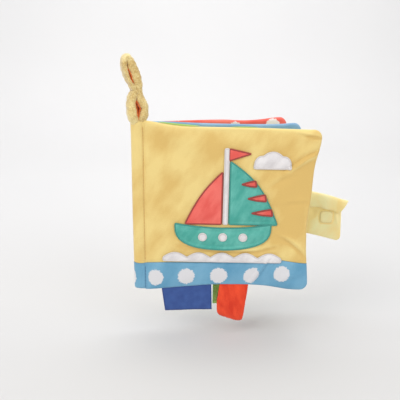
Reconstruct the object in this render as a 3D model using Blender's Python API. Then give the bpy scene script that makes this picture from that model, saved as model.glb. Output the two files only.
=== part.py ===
"""A baby's soft cloth book, standing upright and a little fanned open.

X runs from the spine to the fore-edge, the reader looks along +Y, and Z is up.
The origin is the middle of the spine's foot. All lengths are in metres.
"""

import math

import bmesh
import bpy
from mathutils import Vector
from mathutils.geometry import tessellate_polygon

# Cloth and clearances
CLOTH = 0.0009
CLEARANCE = 0.0003
HINGE_GAP = 0.0005

# Spine, where the three leaves are stitched together
BOOK_HEIGHT = 0.157
BINDING_WIDTH = 0.0133
SPINE_THICKNESS = 0.010
TONGUE_LENGTH = 0.0017
TONGUE_THICKNESS = 0.0014
BAND_HEIGHT = 0.024

# Leaves, from the stitch line to the fore-edge
FRONT_COVER_WIDTH = 0.155
INNER_LEAF_WIDTH = 0.147
BACK_COVER_WIDTH = 0.147
CORNER_RADIUS = 0.008
FORE_EDGE_DRAW = 0.0035
EDGE_ROUND = 0.014
OUTER_CROWN = 0.0022
OUTER_RAMP = 0.018
FACING_CROWN = 0.0030
PAGE_CROWN = 0.0020
PAGE_RAMP = 0.070
FLAT_CUT = 0.0005
WADDING_START = 0.030
WADDING_INSET = 0.003
INNER_LEAF_ANGLE = math.radians(9)
BACK_COVER_ANGLE = math.radians(19)

# Hanging loop on the spine's top
STRAP_WIDTH = 0.015
STRAP_WALL = 0.0054
STRAP_LINING = 0.0009
LOWER_EYE_WIDTH = 0.0046
LOWER_EYE_HEIGHT = 0.0300
UPPER_EYE_WIDTH = 0.0012
UPPER_EYE_HEIGHT = 0.0343
WAIST_WIDTH = 0.0094
LOOP_BOW = 0.0028
LOOP_LEAN = math.radians(15.5)
LOOP_TURN = math.radians(20)

# Closure tab on the back cover's fore-edge
TAB_LENGTH = 0.0573
TAB_FOLD_OVERHANG = 0.0050
TAB_HEIGHT = 0.044
TAB_CENTRE_Z = 0.065
TAB_PLY = 0.0013
TAB_NOSE = 0.0013
TAB_AXIS_SETBACK = 0.0028
TAB_CORNER = 0.005
TAB_FOLD_HEIGHT = 0.014
TAB_FOLD_THICKNESS = 0.0016
TAB_FOLD_START = 0.004
TAB_DROOP = math.radians(12)
PATCH_SIZE = 0.0135
PATCH_THICKNESS = 0.0010
PATCH_CORNER = 0.003
PATCH_FROM_TIP = 0.0085

# Woven label and ribbon tags along the bottom edge
LABEL_START = 0.0155
LABEL_WIDTH = 0.047
LABEL_HEIGHT = 0.0240
LABEL_THICKNESS = 0.0012
LABEL_AXIS_DROP = 0.0010
RED_TAG_START = 0.0705
RED_TAG_WIDTH = 0.027
RED_TAG_HEIGHT = 0.033
RED_TAG_THICKNESS = 0.0050
RED_TAG_AXIS_DROP = 0.00145
GREEN_TAG_START = 0.0633
GREEN_TAG_WIDTH = 0.016
GREEN_TAG_HEIGHT = 0.022
GREEN_TAG_THICKNESS = 0.0016
GREEN_TAG_AXIS_DROP = 0.0012
TAG_SLIT = 0.0003

# Boat picture sewn on the front cover
APPLIQUE = 0.0012
HULL_LENGTH = 0.090
HULL_DEPTH = 0.021
HULL_SHEER = 0.004
KEEL_GAP = 0.004
BOAT_CENTRE = 0.072
MAST_WIDTH = 0.0036
MAST_HEIGHT = 0.072
MAST_FROM_BOW = 0.047
SAIL_GAP = 0.0018
MAINSAIL_FOOT = 0.045
MAINSAIL_LUFF = 0.060
JIB_FOOT = 0.034
JIB_LUFF = 0.050
PENNANT_LENGTH = 0.020
PENNANT_HEIGHT = 0.011
PORTHOLE_RADIUS = 0.0036
PORTHOLE_PITCH = 0.019
PORTHOLE_DROP = 0.0085
WAVE_LENGTH = 0.112
WAVE_BASE = 0.0265
WAVE_THICKNESS = 0.0035
WAVE_HEIGHT = 0.0050
CLOUD_LENGTH = 0.034
CLOUD_HEIGHT = 0.016
CLOUD_CENTRE = 0.116
CLOUD_BASE = 0.118
DECK_HEIGHT = WAVE_BASE + WAVE_THICKNESS + WAVE_HEIGHT + KEEL_GAP + HULL_DEPTH

# Places worked out from the sizes above
PINCH = 2 * CLOTH + CLEARANCE
LEAF_PITCH = PINCH + CLEARANCE
STACK = PINCH + 2 * LEAF_PITCH
SPINE_RADIUS = SPINE_THICKNESS / 2
SPINE_LEFT = -BINDING_WIDTH / 2
HINGE_X = SPINE_LEFT + BINDING_WIDTH
BINDING_END = HINGE_X - HINGE_GAP
INNER_HINGE_X = HINGE_X + TONGUE_LENGTH + CLEARANCE
FRONT_FACE_Y = -STACK / 2
BACK_FACE_Y = STACK / 2

YELLOW = (0.86, 0.60, 0.22)
LEMON = (0.88, 0.76, 0.36)
BLUE = (0.15, 0.40, 0.62)
LEAF_GREEN = (0.42, 0.60, 0.20)
CORAL = (0.80, 0.14, 0.09)
ORANGE = (0.80, 0.20, 0.04)
TEAL = (0.12, 0.46, 0.40)
WHITE = (0.85, 0.83, 0.82)
NAVY = (0.02, 0.06, 0.28)
GRASS = (0.13, 0.35, 0.04)


def clear_scene():
    for thing in list(bpy.data.objects):
        bpy.data.objects.remove(thing, do_unlink=True)


def cloth_material(name, colour, roughness):
    material = bpy.data.materials.new(name + "_cloth")
    material.use_nodes = True
    shader = material.node_tree.nodes["Principled BSDF"]
    shader.inputs["Base Color"].default_value = (*colour, 1.0)
    shader.inputs["Roughness"].default_value = roughness
    shader.inputs["Metallic"].default_value = 0.0
    return material


def cloth_piece(name, vertices, faces, colour, parent, roughness=0.9):
    """Makes one named, closed, smooth-shaded sub-part under its parent."""
    mesh = bpy.data.meshes.new(name)
    mesh.from_pydata([tuple(point) for point in vertices], [], faces)
    shape = bmesh.new()
    shape.from_mesh(mesh)
    bmesh.ops.recalc_face_normals(shape, faces=shape.faces)
    shape.to_mesh(mesh)
    shape.free()
    mesh.shade_smooth()
    mesh.set_sharp_from_angle(angle=math.radians(40))
    mesh.materials.append(cloth_material(name, colour, roughness))
    piece = bpy.data.objects.new(name, mesh)
    bpy.context.scene.collection.objects.link(piece)
    piece.parent = parent
    return piece


def pivot(name, place, turn=0.0, parent=None):
    """An empty on a joint's axis, or at a fixed group's own corner."""
    empty = bpy.data.objects.new(name, None)
    bpy.context.scene.collection.objects.link(empty)
    empty.location = place
    empty.rotation_euler = (0.0, 0.0, turn)
    empty.parent = parent
    return empty


def smooth_step(share):
    share = min(max(share, 0.0), 1.0)
    return share * share * (3 - 2 * share)


def round_step(share):
    share = min(max(share, 0.0), 1.0)
    return math.sqrt(1 - (1 - share) ** 2)


class Leaf:
    """A padded leaf in its own frame: X from its hinge, Y towards the back.

    seam is the Y of the plane where its two faces are sewn together.
    """

    def __init__(self, width, seam, front, rear):
        self.width = width
        self.seam = seam
        self.crown = {-1: front[0], 1: rear[0]}
        self.ramp = {-1: front[1], 1: rear[1]}

    def drawn_width(self, z):
        return self.width - FORE_EDGE_DRAW * math.sin(math.pi * z / BOOK_HEIGHT)

    def reach(self, z):
        """How far a row at height z runs, inside the rounded corners."""
        from_end = min(z, BOOK_HEIGHT - z)
        into_corner = max(CORNER_RADIUS - from_end, 0.0)
        inset = CORNER_RADIUS - math.sqrt(CORNER_RADIUS ** 2 - into_corner ** 2)
        return self.drawn_width(z) - inset

    def edge_distance(self, x, z):
        """Distance in from the sewn outline, which the hinge side has none of."""
        across = x - (self.drawn_width(z) - CORNER_RADIUS)
        along = CORNER_RADIUS - min(z, BOOK_HEIGHT - z)
        if across > 0 and along > 0:
            return CORNER_RADIUS - math.hypot(across, along)
        return CORNER_RADIUS - max(across, along)

    def swell(self, side, x, z):
        """Distance from the seam plane to the outer cloth on one side."""
        crown = self.crown[side] * smooth_step(x / self.ramp[side])
        return PINCH / 2 + crown * round_step(self.edge_distance(x, z) / EDGE_ROUND)


def edge_stations(near_edge):
    """Distances in from a rounded edge, closest together at the edge."""
    steps = [CORNER_RADIUS * (1 - math.cos(math.pi / 2 * k / 3)) for k in range(4)]
    return steps + [near_edge]


def leaf_columns(leaf):
    start = [OUTER_RAMP * k / 3 for k in range(4)]
    middle = [PAGE_RAMP / 2, PAGE_RAMP, (PAGE_RAMP + leaf.width - EDGE_ROUND) / 2]
    end = [leaf.width - step for step in reversed(edge_stations(EDGE_ROUND))]
    return start + middle + end


def leaf_rows(low, high):
    """Heights of the rows between two heights of the book."""
    bottom = edge_stations(EDGE_ROUND)
    top = [BOOK_HEIGHT - step for step in reversed(bottom)]
    between = [z for z in bottom + [BOOK_HEIGHT / 2] + top if low < z < high]
    return [low] + between + [high]


def closed_grid(near, far):
    """Vertices and faces of a body between two grids of equal size."""
    rows, columns = len(near), len(near[0])
    count = rows * columns
    vertices = [point for grid in (near, far) for row in grid for point in row]
    faces = []
    for i in range(rows - 1):
        for j in range(columns - 1):
            a = i * columns + j
            quad = [a, a + 1, a + columns + 1, a + columns]
            faces.append(quad)
            faces.append([count + k for k in reversed(quad)])
    rim = [j for j in range(columns)]
    rim += [i * columns + columns - 1 for i in range(1, rows)]
    rim += [(rows - 1) * columns + j for j in range(columns - 2, -1, -1)]
    rim += [i * columns for i in range(rows - 2, 0, -1)]
    for k, a in enumerate(rim):
        b = rim[(k + 1) % len(rim)]
        faces.append([a, b, count + b, count + a])
    return vertices, faces


def leaf_face(name, leaf, side, low, high, colour, parent, flat=False):
    """One cloth face of a leaf, from its outer side down to CLOTH below it."""
    outer, inner = [], []
    for z in leaf_rows(low, high):
        spread = leaf.reach(z) / leaf.width
        outer.append([])
        inner.append([])
        for column in leaf_columns(leaf):
            x = column * spread
            swell = leaf.swell(side, x, z)
            if flat:
                swell = min(swell, PINCH / 2 + leaf.crown[side] - FLAT_CUT)
            outer[-1].append((x, leaf.seam + side * swell, z))
            inner[-1].append((x, leaf.seam + side * (swell - CLOTH), z))
    vertices, faces = closed_grid(outer, inner)
    return cloth_piece(name, vertices, faces, colour, parent)


def leaf_wadding(name, leaf, parent, flat_side=0):
    """The wadding that fills a leaf between its two cloth faces."""
    near, far = [], []
    low, high = WADDING_INSET, BOOK_HEIGHT - WADDING_INSET
    for z in leaf_rows(low, high):
        end = leaf.reach(z) - WADDING_INSET
        near.append([])
        far.append([])
        for column in leaf_columns(leaf)[4:]:
            share = (column - PAGE_RAMP / 2) / (leaf.width - PAGE_RAMP / 2)
            x = WADDING_START + (end - WADDING_START) * share
            for side, grid in ((-1, near), (1, far)):
                depth = leaf.swell(side, x, z) - CLOTH - CLEARANCE
                if side == flat_side:
                    depth -= FLAT_CUT
                grid[-1].append((x, leaf.seam + side * depth, z))
    vertices, faces = closed_grid(near, far)
    return cloth_piece(name, vertices, faces, WHITE, parent)


def prism(outlines, place_near, place_far):
    """A body between two caps. outlines is the outer loop, then any holes."""
    points = [point for loop in outlines for point in loop]
    flat = [[Vector((a, b, 0.0)) for a, b in loop] for loop in outlines]
    triangles = tessellate_polygon(flat)
    count = len(points)
    vertices = [place_near(a, b) for a, b in points] + [place_far(a, b) for a, b in points]
    faces = [list(triangle) for triangle in triangles]
    faces += [[count + k for k in reversed(triangle)] for triangle in triangles]
    first = 0
    for loop in outlines:
        for k in range(len(loop)):
            a, b = first + k, first + (k + 1) % len(loop)
            faces.append([a, b, count + b, count + a])
        first += len(loop)
    return vertices, faces


def upright_prism(outline, low, high):
    return prism([outline], lambda x, y: (x, y, low), lambda x, y: (x, y, high))


def spine_outline(inset):
    """The spine's section, from the stitch line round the back and home."""
    radius = SPINE_RADIUS - inset
    centre = SPINE_LEFT + SPINE_RADIUS
    end = STACK / 2 - inset
    turn = [math.radians(75 + 210 * k / 12) for k in range(13)]
    arc = [(centre + radius * math.cos(a), radius * math.sin(a)) for a in turn]
    return [(BINDING_END, end)] + arc + [(BINDING_END, -end)]


def make_spine():
    outer = spine_outline(0.0)
    inner = spine_outline(CLOTH)
    section = outer + inner[::-1]
    band_top = BAND_HEIGHT - CLEARANCE / 2
    vertices, faces = upright_prism(section, band_top + CLEARANCE, BOOK_HEIGHT)
    cloth_piece("spine_wrap", vertices, faces, YELLOW, None)
    vertices, faces = upright_prism(section, 0.0, band_top)
    cloth_piece("spine_band", vertices, faces, BLUE, None)
    half = TONGUE_THICKNESS / 2
    tongue_end = HINGE_X + TONGUE_LENGTH - HINGE_GAP
    core = spine_outline(CLOTH + CLEARANCE)
    core += [(BINDING_END, -half), (tongue_end, -half), (tongue_end, half), (BINDING_END, half)]
    vertices, faces = upright_prism(core, 0.0, BOOK_HEIGHT)
    cloth_piece("bound_edges", vertices, faces, WHITE, None)


def make_front_cover(leaf, body):
    seam_z = BAND_HEIGHT
    half_gap = CLEARANCE / 2
    leaf_face("front_cover_band", leaf, -1, 0.0, seam_z - half_gap, BLUE, body)
    leaf_face("front_cover_panel", leaf, -1, seam_z + half_gap, BOOK_HEIGHT, YELLOW, body)
    leaf_face("front_cover_lining", leaf, 1, 0.0, BOOK_HEIGHT, LEAF_GREEN, body)
    leaf_wadding("front_cover_wadding", leaf, body)


def make_inner_leaf(leaf, body):
    leaf_face("inner_leaf_front_face", leaf, -1, 0.0, BOOK_HEIGHT, BLUE, body)
    leaf_face("inner_leaf_rear_face", leaf, 1, 0.0, BOOK_HEIGHT, LEAF_GREEN, body)
    leaf_wadding("inner_leaf_wadding", leaf, body)


def make_back_cover(leaf, body):
    half_gap = CLEARANCE / 2
    leaf_face("back_cover_lining", leaf, -1, 0.0, BOOK_HEIGHT, CORAL, body)
    leaf_face("back_cover_band", leaf, 1, 0.0, BAND_HEIGHT - half_gap, BLUE, body, flat=True)
    leaf_face("back_cover_panel", leaf, 1, BAND_HEIGHT + half_gap, BOOK_HEIGHT, YELLOW, body, flat=True)
    leaf_wadding("back_cover_wadding", leaf, body, flat_side=1)


def eye_half_width(share, half, waist_half):
    """Half the strap loop's width along one eye, from its round end to the waist."""
    if share < 0.5:
        return half * round_step(2 * share)
    return waist_half + (half - waist_half) * (0.5 - 0.5 * math.cos(2 * math.pi * share))


def loop_spine_point(height):
    """The loop's middle line: bowed to the left in the lower eye, leaning in the upper."""
    above = max(height - LOWER_EYE_HEIGHT, 0.0)
    upright = min(height, LOWER_EYE_HEIGHT)
    bow = LOOP_BOW * (upright / LOWER_EYE_HEIGHT) ** 2
    return Vector((-bow - above * math.sin(LOOP_LEAN), upright + above * math.cos(LOOP_LEAN)))


def loop_outline(stations):
    """A closed outline round the middle line from (height, half width) pairs."""
    left, right = [], []
    for height, half in stations:
        centre = loop_spine_point(height)
        ahead = loop_spine_point(height + CLEARANCE) - loop_spine_point(height - CLEARANCE)
        side = Vector((ahead.y, -ahead.x)).normalized()
        right.append(tuple(centre + side * half))
        left.append(tuple(centre - side * half))
    return right + left[::-1]


def strap_outer_stations():
    steps = 9
    wall = STRAP_WALL + STRAP_LINING
    lower_half = LOWER_EYE_WIDTH / 2 + wall
    upper_half = UPPER_EYE_WIDTH / 2 + wall
    waist = WAIST_WIDTH / 2
    stations = []
    for k in range(steps):
        share = (k + 0.05) / steps
        stations.append((LOWER_EYE_HEIGHT * share, eye_half_width(share, lower_half, waist)))
    for k in range(steps, 0, -1):
        share = (k - 0.95) / steps
        height = LOWER_EYE_HEIGHT + UPPER_EYE_HEIGHT * (1 - share)
        stations.append((height, eye_half_width(share, upper_half, waist)))
    return stations


def eye_stations(base, height, width, margin):
    """A lens-shaped eye between two heights of the loop, grown by margin."""
    steps = 8
    low = base + STRAP_WALL + STRAP_LINING - margin
    span = height - 2 * (STRAP_WALL + STRAP_LINING) + 2 * margin
    stations = []
    for k in range(steps + 1):
        share = (k + 0.1) / (steps + 0.2)
        half = (width / 2 + margin) * math.sin(math.pi * share) ** 0.9
        stations.append((low + span * share, half))
    return stations


def eye_list():
    return [(0.0, LOWER_EYE_HEIGHT, LOWER_EYE_WIDTH),
            (LOWER_EYE_HEIGHT, UPPER_EYE_HEIGHT, UPPER_EYE_WIDTH)]


def make_hanging_loop(body, lift):
    """The terry strap's two eyes and the lining inside them."""
    def front(x, z):
        return (x, -STRAP_WIDTH / 2, z + lift)

    def rear(x, z):
        return (x, STRAP_WIDTH / 2, z + lift)

    outlines = [loop_outline(strap_outer_stations())]
    outlines += [loop_outline(eye_stations(*eye, STRAP_LINING + CLEARANCE)) for eye in eye_list()]
    vertices, faces = prism(outlines, front, rear)
    cloth_piece("hanging_loop_strap", vertices, faces, LEMON, body)
    for place, eye in zip(("lower", "upper"), eye_list()):
        ring = [loop_outline(eye_stations(*eye, STRAP_LINING)), loop_outline(eye_stations(*eye, 0.0))]
        vertices, faces = prism(ring, front, rear)
        cloth_piece(place + "_eye_lining", vertices, faces, ORANGE, body)


def tab_outline():
    """The tab seen from the front: an upright root and drooping long edges."""
    half = TAB_HEIGHT / 2
    fall = math.tan(TAB_DROOP)
    tip = TAB_LENGTH
    outline = [(0.0, half), (0.0, -half)]
    outline.append((tip - TAB_CORNER, -half - fall * (tip - TAB_CORNER)))
    outline.append((tip - TAB_CORNER * 0.3, -half + TAB_CORNER * 0.3 - fall * tip))
    outline.append((tip, -half + TAB_CORNER - fall * tip))
    outline.append((tip, half - fall * tip))
    return outline


def tab_ply(name, front_y, rear_y, body):
    """One ply of the tab, thinned to a nose where it is sewn in."""
    outline = tab_outline()
    thin = 0.4
    vertices, faces = prism([outline], lambda x, z: (x, front_y, z), lambda x, z: (x, rear_y, z))
    first = len(vertices)
    half = TAB_HEIGHT / 2
    inner_y = min(front_y, rear_y, key=abs)
    outer_y = max(front_y, rear_y, key=abs)
    nose_y = inner_y + (outer_y - inner_y) * thin
    near, far = (inner_y, nose_y) if inner_y == front_y else (nose_y, inner_y)
    vertices += [(-TAB_NOSE, near, half), (-TAB_NOSE, near, -half)]
    vertices += [(-TAB_NOSE, far, half), (-TAB_NOSE, far, -half)]
    count = len(outline)
    root = [0, 1, count + 1, count]
    faces = [face for face in faces if sorted(face) != sorted(root)]
    nose = [first, first + 1, first + 3, first + 2]
    faces.append(nose)
    for k in range(4):
        faces.append([root[k], root[(k + 1) % 4], nose[(k + 1) % 4], nose[k]])
    return cloth_piece(name, vertices, faces, LEMON, body)


def tab_fold(front_y, body):
    """The tab's upper edge, rolled forward and down over its front ply."""
    top = TAB_HEIGHT / 2
    ply_front = front_y
    layer_back = ply_front - CLEARANCE
    layer_front = layer_back - TAB_FOLD_THICKNESS
    root_y = ply_front + TAB_PLY * 0.5
    lip = TAB_FOLD_THICKNESS
    section = [(root_y, top + lip * 0.2), (root_y, top - lip), (layer_back, top - lip)]
    section += [(layer_back, top - TAB_FOLD_HEIGHT), (layer_front, top - TAB_FOLD_HEIGHT + lip * 0.4)]
    section += [(layer_front, top - lip * 0.6), (layer_back - lip * 0.6, top + lip * 0.5)]
    section += [(layer_back + lip * 0.2, top + lip * 0.8)]
    fall = math.tan(TAB_DROOP)
    start = TAB_FOLD_START
    end = TAB_LENGTH + TAB_FOLD_OVERHANG
    back = (end - TAB_LENGTH) / TAB_FOLD_HEIGHT

    def near(y, z):
        return (start, y, z - fall * start)

    def far(y, z):
        tip = end - (top - z) * back
        return (tip, y, z - fall * tip)

    vertices, faces = prism([section], near, far)
    return cloth_piece("closure_tab_fold", vertices, faces, LEMON, body)


def join_by_union(target, addition):
    """Melts a second closed body into the target and hides the second one."""
    union = target.modifiers.new("join", "BOOLEAN")
    union.operation = "UNION"
    union.object = addition
    addition.hide_render = True
    addition.display_type = "WIRE"


def rounded_square(centre_x, centre_z, size, corner):
    """A square outline with rounded corners."""
    points = []
    half = size / 2 - corner
    for quarter, (sx, sz) in enumerate(((1, 1), (-1, 1), (-1, -1), (1, -1))):
        for k in range(4):
            angle = math.pi / 2 * (quarter + k / 3)
            x = centre_x + sx * half + corner * math.cos(angle)
            z = centre_z + sz * half + corner * math.sin(angle)
            points.append((x, z))
    return points


def make_closure_tab(body):
    """Two velour plies, the rolled top edge and the hook patch."""
    inner = CLEARANCE / 2
    outer = inner + TAB_PLY
    tab_ply("closure_tab_rear_ply", inner, outer, body)
    front = tab_ply("closure_tab_front_ply", -outer, -inner, body)
    join_by_union(front, tab_fold(-outer, body))
    x = TAB_LENGTH - PATCH_FROM_TIP - PATCH_SIZE / 2
    fall = math.tan(TAB_DROOP) * x
    z = TAB_HEIGHT / 2 - TAB_FOLD_HEIGHT - CLEARANCE - PATCH_SIZE / 2 - fall
    z -= math.tan(TAB_DROOP) * PATCH_SIZE / 2
    outline = rounded_square(x, z, PATCH_SIZE, PATCH_CORNER)
    front_y = -outer - CLEARANCE
    vertices, faces = prism([outline], lambda a, b: (a, front_y - PATCH_THICKNESS, b),
                            lambda a, b: (a, front_y, b))
    cloth_piece("hook_patch", vertices, faces, LEMON, body)


def folded_tag(name, width, height, thickness, colour, body, shape):
    """A folded ribbon that hangs from its seam at the body's axis.

    shape holds the top's share of the thickness, the lean of the two side
    edges, and how much longer the far side hangs than the near one.
    """
    top_share, near_lean, far_lean, longer = shape
    half = thickness / 2
    top = half * top_share
    slit = TAG_SLIT / 2
    drop = [(top * 0.8, top), (-top, top * 1.3), (-2 * half, half)]
    fold = [(-height + half - half * math.sin(a), half * math.cos(a))
            for a in (math.radians(30 * k) for k in range(7))]
    side = [(y, z) for z, y in drop]
    outline = side + [(y, z) for z, y in fold] + [(-y, z) for y, z in reversed(side)]
    outline += [(-slit, top * 0.8), (-slit, -height + thickness), (slit, -height + thickness)]
    outline += [(slit, top * 0.8)]

    def near(y, z):
        return (z * near_lean, y, z)

    def far(y, z):
        return (width + z * far_lean, y, z * (longer if z < 0 else 1))

    vertices, faces = prism([outline], near, far)
    return cloth_piece(name, vertices, faces, colour, body, roughness=0.7)


def applique(name, outline, layer, colour, leaf, body):
    """A flat patch that lies on the front cover, or on the patch below."""
    rear = leaf.seam - PINCH / 2 - OUTER_CROWN - CLEARANCE - layer * (APPLIQUE + CLEARANCE)
    front = rear - APPLIQUE
    vertices, faces = prism([outline], lambda x, z: (x, front, z), lambda x, z: (x, rear, z))
    return cloth_piece(name, vertices, faces, colour, body)


def circle(centre_x, centre_z, radius, count=12):
    turn = [2 * math.pi * k / count for k in range(count)]
    return [(centre_x + radius * math.cos(a), centre_z + radius * math.sin(a)) for a in turn]


def hull_outline():
    """A round-bottomed hull under a deck line that rises to both ends."""
    half = HULL_LENGTH / 2
    keel = [math.pi * k / 16 for k in range(17)]
    outline = []
    for angle in keel:
        x = BOAT_CENTRE - half * math.cos(angle)
        sheer = HULL_SHEER * math.cos(angle) ** 2
        outline.append((x, DECK_HEIGHT + sheer - (HULL_DEPTH + sheer) * math.sin(angle) ** 0.6))
    for k in range(7, 0, -1):
        share = k / 8
        x = BOAT_CENTRE + half * (2 * share - 1)
        outline.append((x, DECK_HEIGHT + HULL_SHEER * (2 * share - 1) ** 2))
    return outline


def sail_outline(corner_x, corner_z, foot, luff, bulge_share):
    """A three-cornered sail with a straight luff and foot and a full leech."""
    outline = [(corner_x, corner_z), (corner_x + foot, corner_z)]
    for k in range(1, 7):
        share = k / 7
        bulge = bulge_share * math.sin(math.pi * share)
        outline.append((corner_x + foot * (1 - share + bulge), corner_z + luff * (share + bulge)))
    outline.append((corner_x, corner_z + luff))
    return outline


def wave_outline():
    """A strip of sea with five rounded crests."""
    crests = 5
    steps = crests * 6
    left = BOAT_CENTRE - WAVE_LENGTH / 2
    outline = [(left, WAVE_BASE), (left + WAVE_LENGTH, WAVE_BASE)]
    for k in range(steps, -1, -1):
        share = k / steps
        crest = abs(math.sin(math.pi * crests * share))
        outline.append((left + WAVE_LENGTH * share, WAVE_BASE + WAVE_THICKNESS + WAVE_HEIGHT * crest))
    return outline


def cloud_outline():
    """A flat-bottomed cloud with three round heads."""
    head_shares = ((-0.30, 0.20, 0.40), (0.0, 0.35, 0.65), (0.31, 0.19, 0.38))
    steps = 24
    outline = []
    for k in range(steps + 1):
        share = k / steps - 0.5
        top = 0.12
        for middle, reach, rise in head_shares:
            inside = 1 - ((share - middle) / reach) ** 2
            if inside > 0:
                top = max(top, 0.12 + (rise + 0.2) * math.sqrt(inside))
        end = 1.0 if abs(share) < 0.49 else 0.6
        outline.append((CLOUD_CENTRE + CLOUD_LENGTH * share, CLOUD_BASE + CLOUD_HEIGHT * top * end))
    outline += [(CLOUD_CENTRE + CLOUD_LENGTH / 2, CLOUD_BASE), (CLOUD_CENTRE - CLOUD_LENGTH / 2, CLOUD_BASE)]
    return outline


def make_boat(leaf, body):
    """The sewn picture: a sailing boat on the sea under a cloud."""
    deck = DECK_HEIGHT + HULL_SHEER
    mast_x = BOAT_CENTRE - HULL_LENGTH / 2 + MAST_FROM_BOW
    half = MAST_WIDTH / 2
    mast_top = deck + MAST_HEIGHT
    mast = [(mast_x - half, deck), (mast_x + half, deck), (mast_x + half, mast_top), (mast_x - half, mast_top)]
    main = sail_outline(mast_x + half + SAIL_GAP, deck, MAINSAIL_FOOT, MAINSAIL_LUFF, 0.10)
    jib = sail_outline(mast_x - half - SAIL_GAP, deck, -JIB_FOOT, JIB_LUFF, 0.06)
    pennant_x = mast_x + half + CLEARANCE
    pennant = [(pennant_x, mast_top), (pennant_x, mast_top - PENNANT_HEIGHT)]
    pennant += [(pennant_x + PENNANT_LENGTH, mast_top - PENNANT_HEIGHT * 0.4)]
    for k, place in ((-1, "left"), (0, "middle"), (1, "right")):
        port = circle(BOAT_CENTRE + k * PORTHOLE_PITCH, DECK_HEIGHT - PORTHOLE_DROP, PORTHOLE_RADIUS)
        applique("porthole_" + place, port, 1, WHITE, leaf, body)
    applique("boat_hull", hull_outline(), 0, TEAL, leaf, body)
    applique("boat_mast", mast, 0, WHITE, leaf, body)
    applique("boat_mainsail", main, 0, TEAL, leaf, body)
    applique("boat_jib", jib, 0, CORAL, leaf, body)
    applique("boat_pennant", pennant, 0, CORAL, leaf, body)
    applique("sea_wave", wave_outline(), 0, WHITE, leaf, body)
    applique("cloud", cloud_outline(), 0, WHITE, leaf, body)


def build():
    clear_scene()
    make_spine()

    front_leaf = Leaf(FRONT_COVER_WIDTH, PINCH / 2, (OUTER_CROWN, OUTER_RAMP), (FACING_CROWN, PAGE_RAMP))
    inner_leaf = Leaf(INNER_LEAF_WIDTH, PINCH / 2, (PAGE_CROWN, PAGE_RAMP), (PAGE_CROWN, PAGE_RAMP))
    back_leaf = Leaf(BACK_COVER_WIDTH, -PINCH / 2, (FACING_CROWN, PAGE_RAMP), (OUTER_CROWN, OUTER_RAMP))

    front_cover = pivot("front_cover_hinge", (HINGE_X, FRONT_FACE_Y, 0.0))
    inner_y = FRONT_FACE_Y + LEAF_PITCH
    inner_hinge = pivot("inner_leaf_hinge", (INNER_HINGE_X, inner_y, 0.0), INNER_LEAF_ANGLE)
    back_cover = pivot("back_cover_root", (HINGE_X, BACK_FACE_Y, 0.0), BACK_COVER_ANGLE)
    make_front_cover(front_leaf, front_cover)
    make_boat(front_leaf, front_cover)
    make_inner_leaf(inner_leaf, inner_hinge)
    make_back_cover(back_leaf, back_cover)

    lower_half = LOWER_EYE_WIDTH / 2 + STRAP_WALL + STRAP_LINING
    roll = lower_half ** 2 / (LOWER_EYE_HEIGHT / 2)
    loop_base = BOOK_HEIGHT + CLEARANCE
    loop = pivot("hanging_loop_sway", (0.0, 0.0, loop_base + roll), LOOP_TURN)
    make_hanging_loop(loop, -roll)

    tab_x = back_leaf.drawn_width(TAB_CENTRE_Z) + TAB_AXIS_SETBACK
    tab = pivot("closure_tab_hinge", (tab_x, back_leaf.seam, TAB_CENTRE_Z), -BACK_COVER_ANGLE, back_cover)
    make_closure_tab(tab)

    label = pivot("woven_label_flap", (LABEL_START, front_leaf.seam, -LABEL_AXIS_DROP), 0.0, front_cover)
    folded_tag("woven_label", LABEL_WIDTH, LABEL_HEIGHT, LABEL_THICKNESS, NAVY, label,
               (1.0, -0.10, -0.06, 0.94))
    red = pivot("red_tag_flap", (RED_TAG_START, front_leaf.seam, -RED_TAG_AXIS_DROP), 0.0, front_cover)
    folded_tag("red_ribbon_tag", RED_TAG_WIDTH, RED_TAG_HEIGHT / 1.1, RED_TAG_THICKNESS, CORAL, red,
               (0.4, 0.06, 0.13, 1.1))
    green = pivot("green_tag_flap", (GREEN_TAG_START, inner_leaf.seam, -GREEN_TAG_AXIS_DROP), 0.0, inner_hinge)
    folded_tag("green_ribbon_tag", GREEN_TAG_WIDTH, GREEN_TAG_HEIGHT, GREEN_TAG_THICKNESS, GRASS, green,
               (0.8, 0.0, 0.0, 1.0))


build()
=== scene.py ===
"""How a baby's soft cloth book looks: velour covers, padded pages, a sewn boat, tags and a loop.

Everything is in metres, in the CAD's frame: the reader looks along +Y and Z is up. Tables that are
multiplied by MM are typed in millimetres.
"""

import math

import bmesh
import bpy
import numpy as np
from mathutils import Matrix, Vector, noise
from mathutils.geometry import delaunay_2d_cdt


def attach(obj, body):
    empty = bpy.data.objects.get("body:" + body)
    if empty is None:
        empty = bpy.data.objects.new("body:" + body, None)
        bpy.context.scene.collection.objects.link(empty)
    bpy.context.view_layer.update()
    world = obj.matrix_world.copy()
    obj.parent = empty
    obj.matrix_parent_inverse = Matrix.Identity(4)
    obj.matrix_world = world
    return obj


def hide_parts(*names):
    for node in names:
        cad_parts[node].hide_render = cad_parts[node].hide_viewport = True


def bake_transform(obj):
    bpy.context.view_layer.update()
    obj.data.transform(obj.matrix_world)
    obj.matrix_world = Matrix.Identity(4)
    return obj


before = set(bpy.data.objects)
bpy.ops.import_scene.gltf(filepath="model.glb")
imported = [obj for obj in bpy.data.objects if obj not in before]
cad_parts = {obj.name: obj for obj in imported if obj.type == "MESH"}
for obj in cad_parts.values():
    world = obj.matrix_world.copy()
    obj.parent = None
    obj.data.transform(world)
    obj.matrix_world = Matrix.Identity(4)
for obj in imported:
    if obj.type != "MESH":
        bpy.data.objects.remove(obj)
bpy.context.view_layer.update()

MM = 0.001

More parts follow.
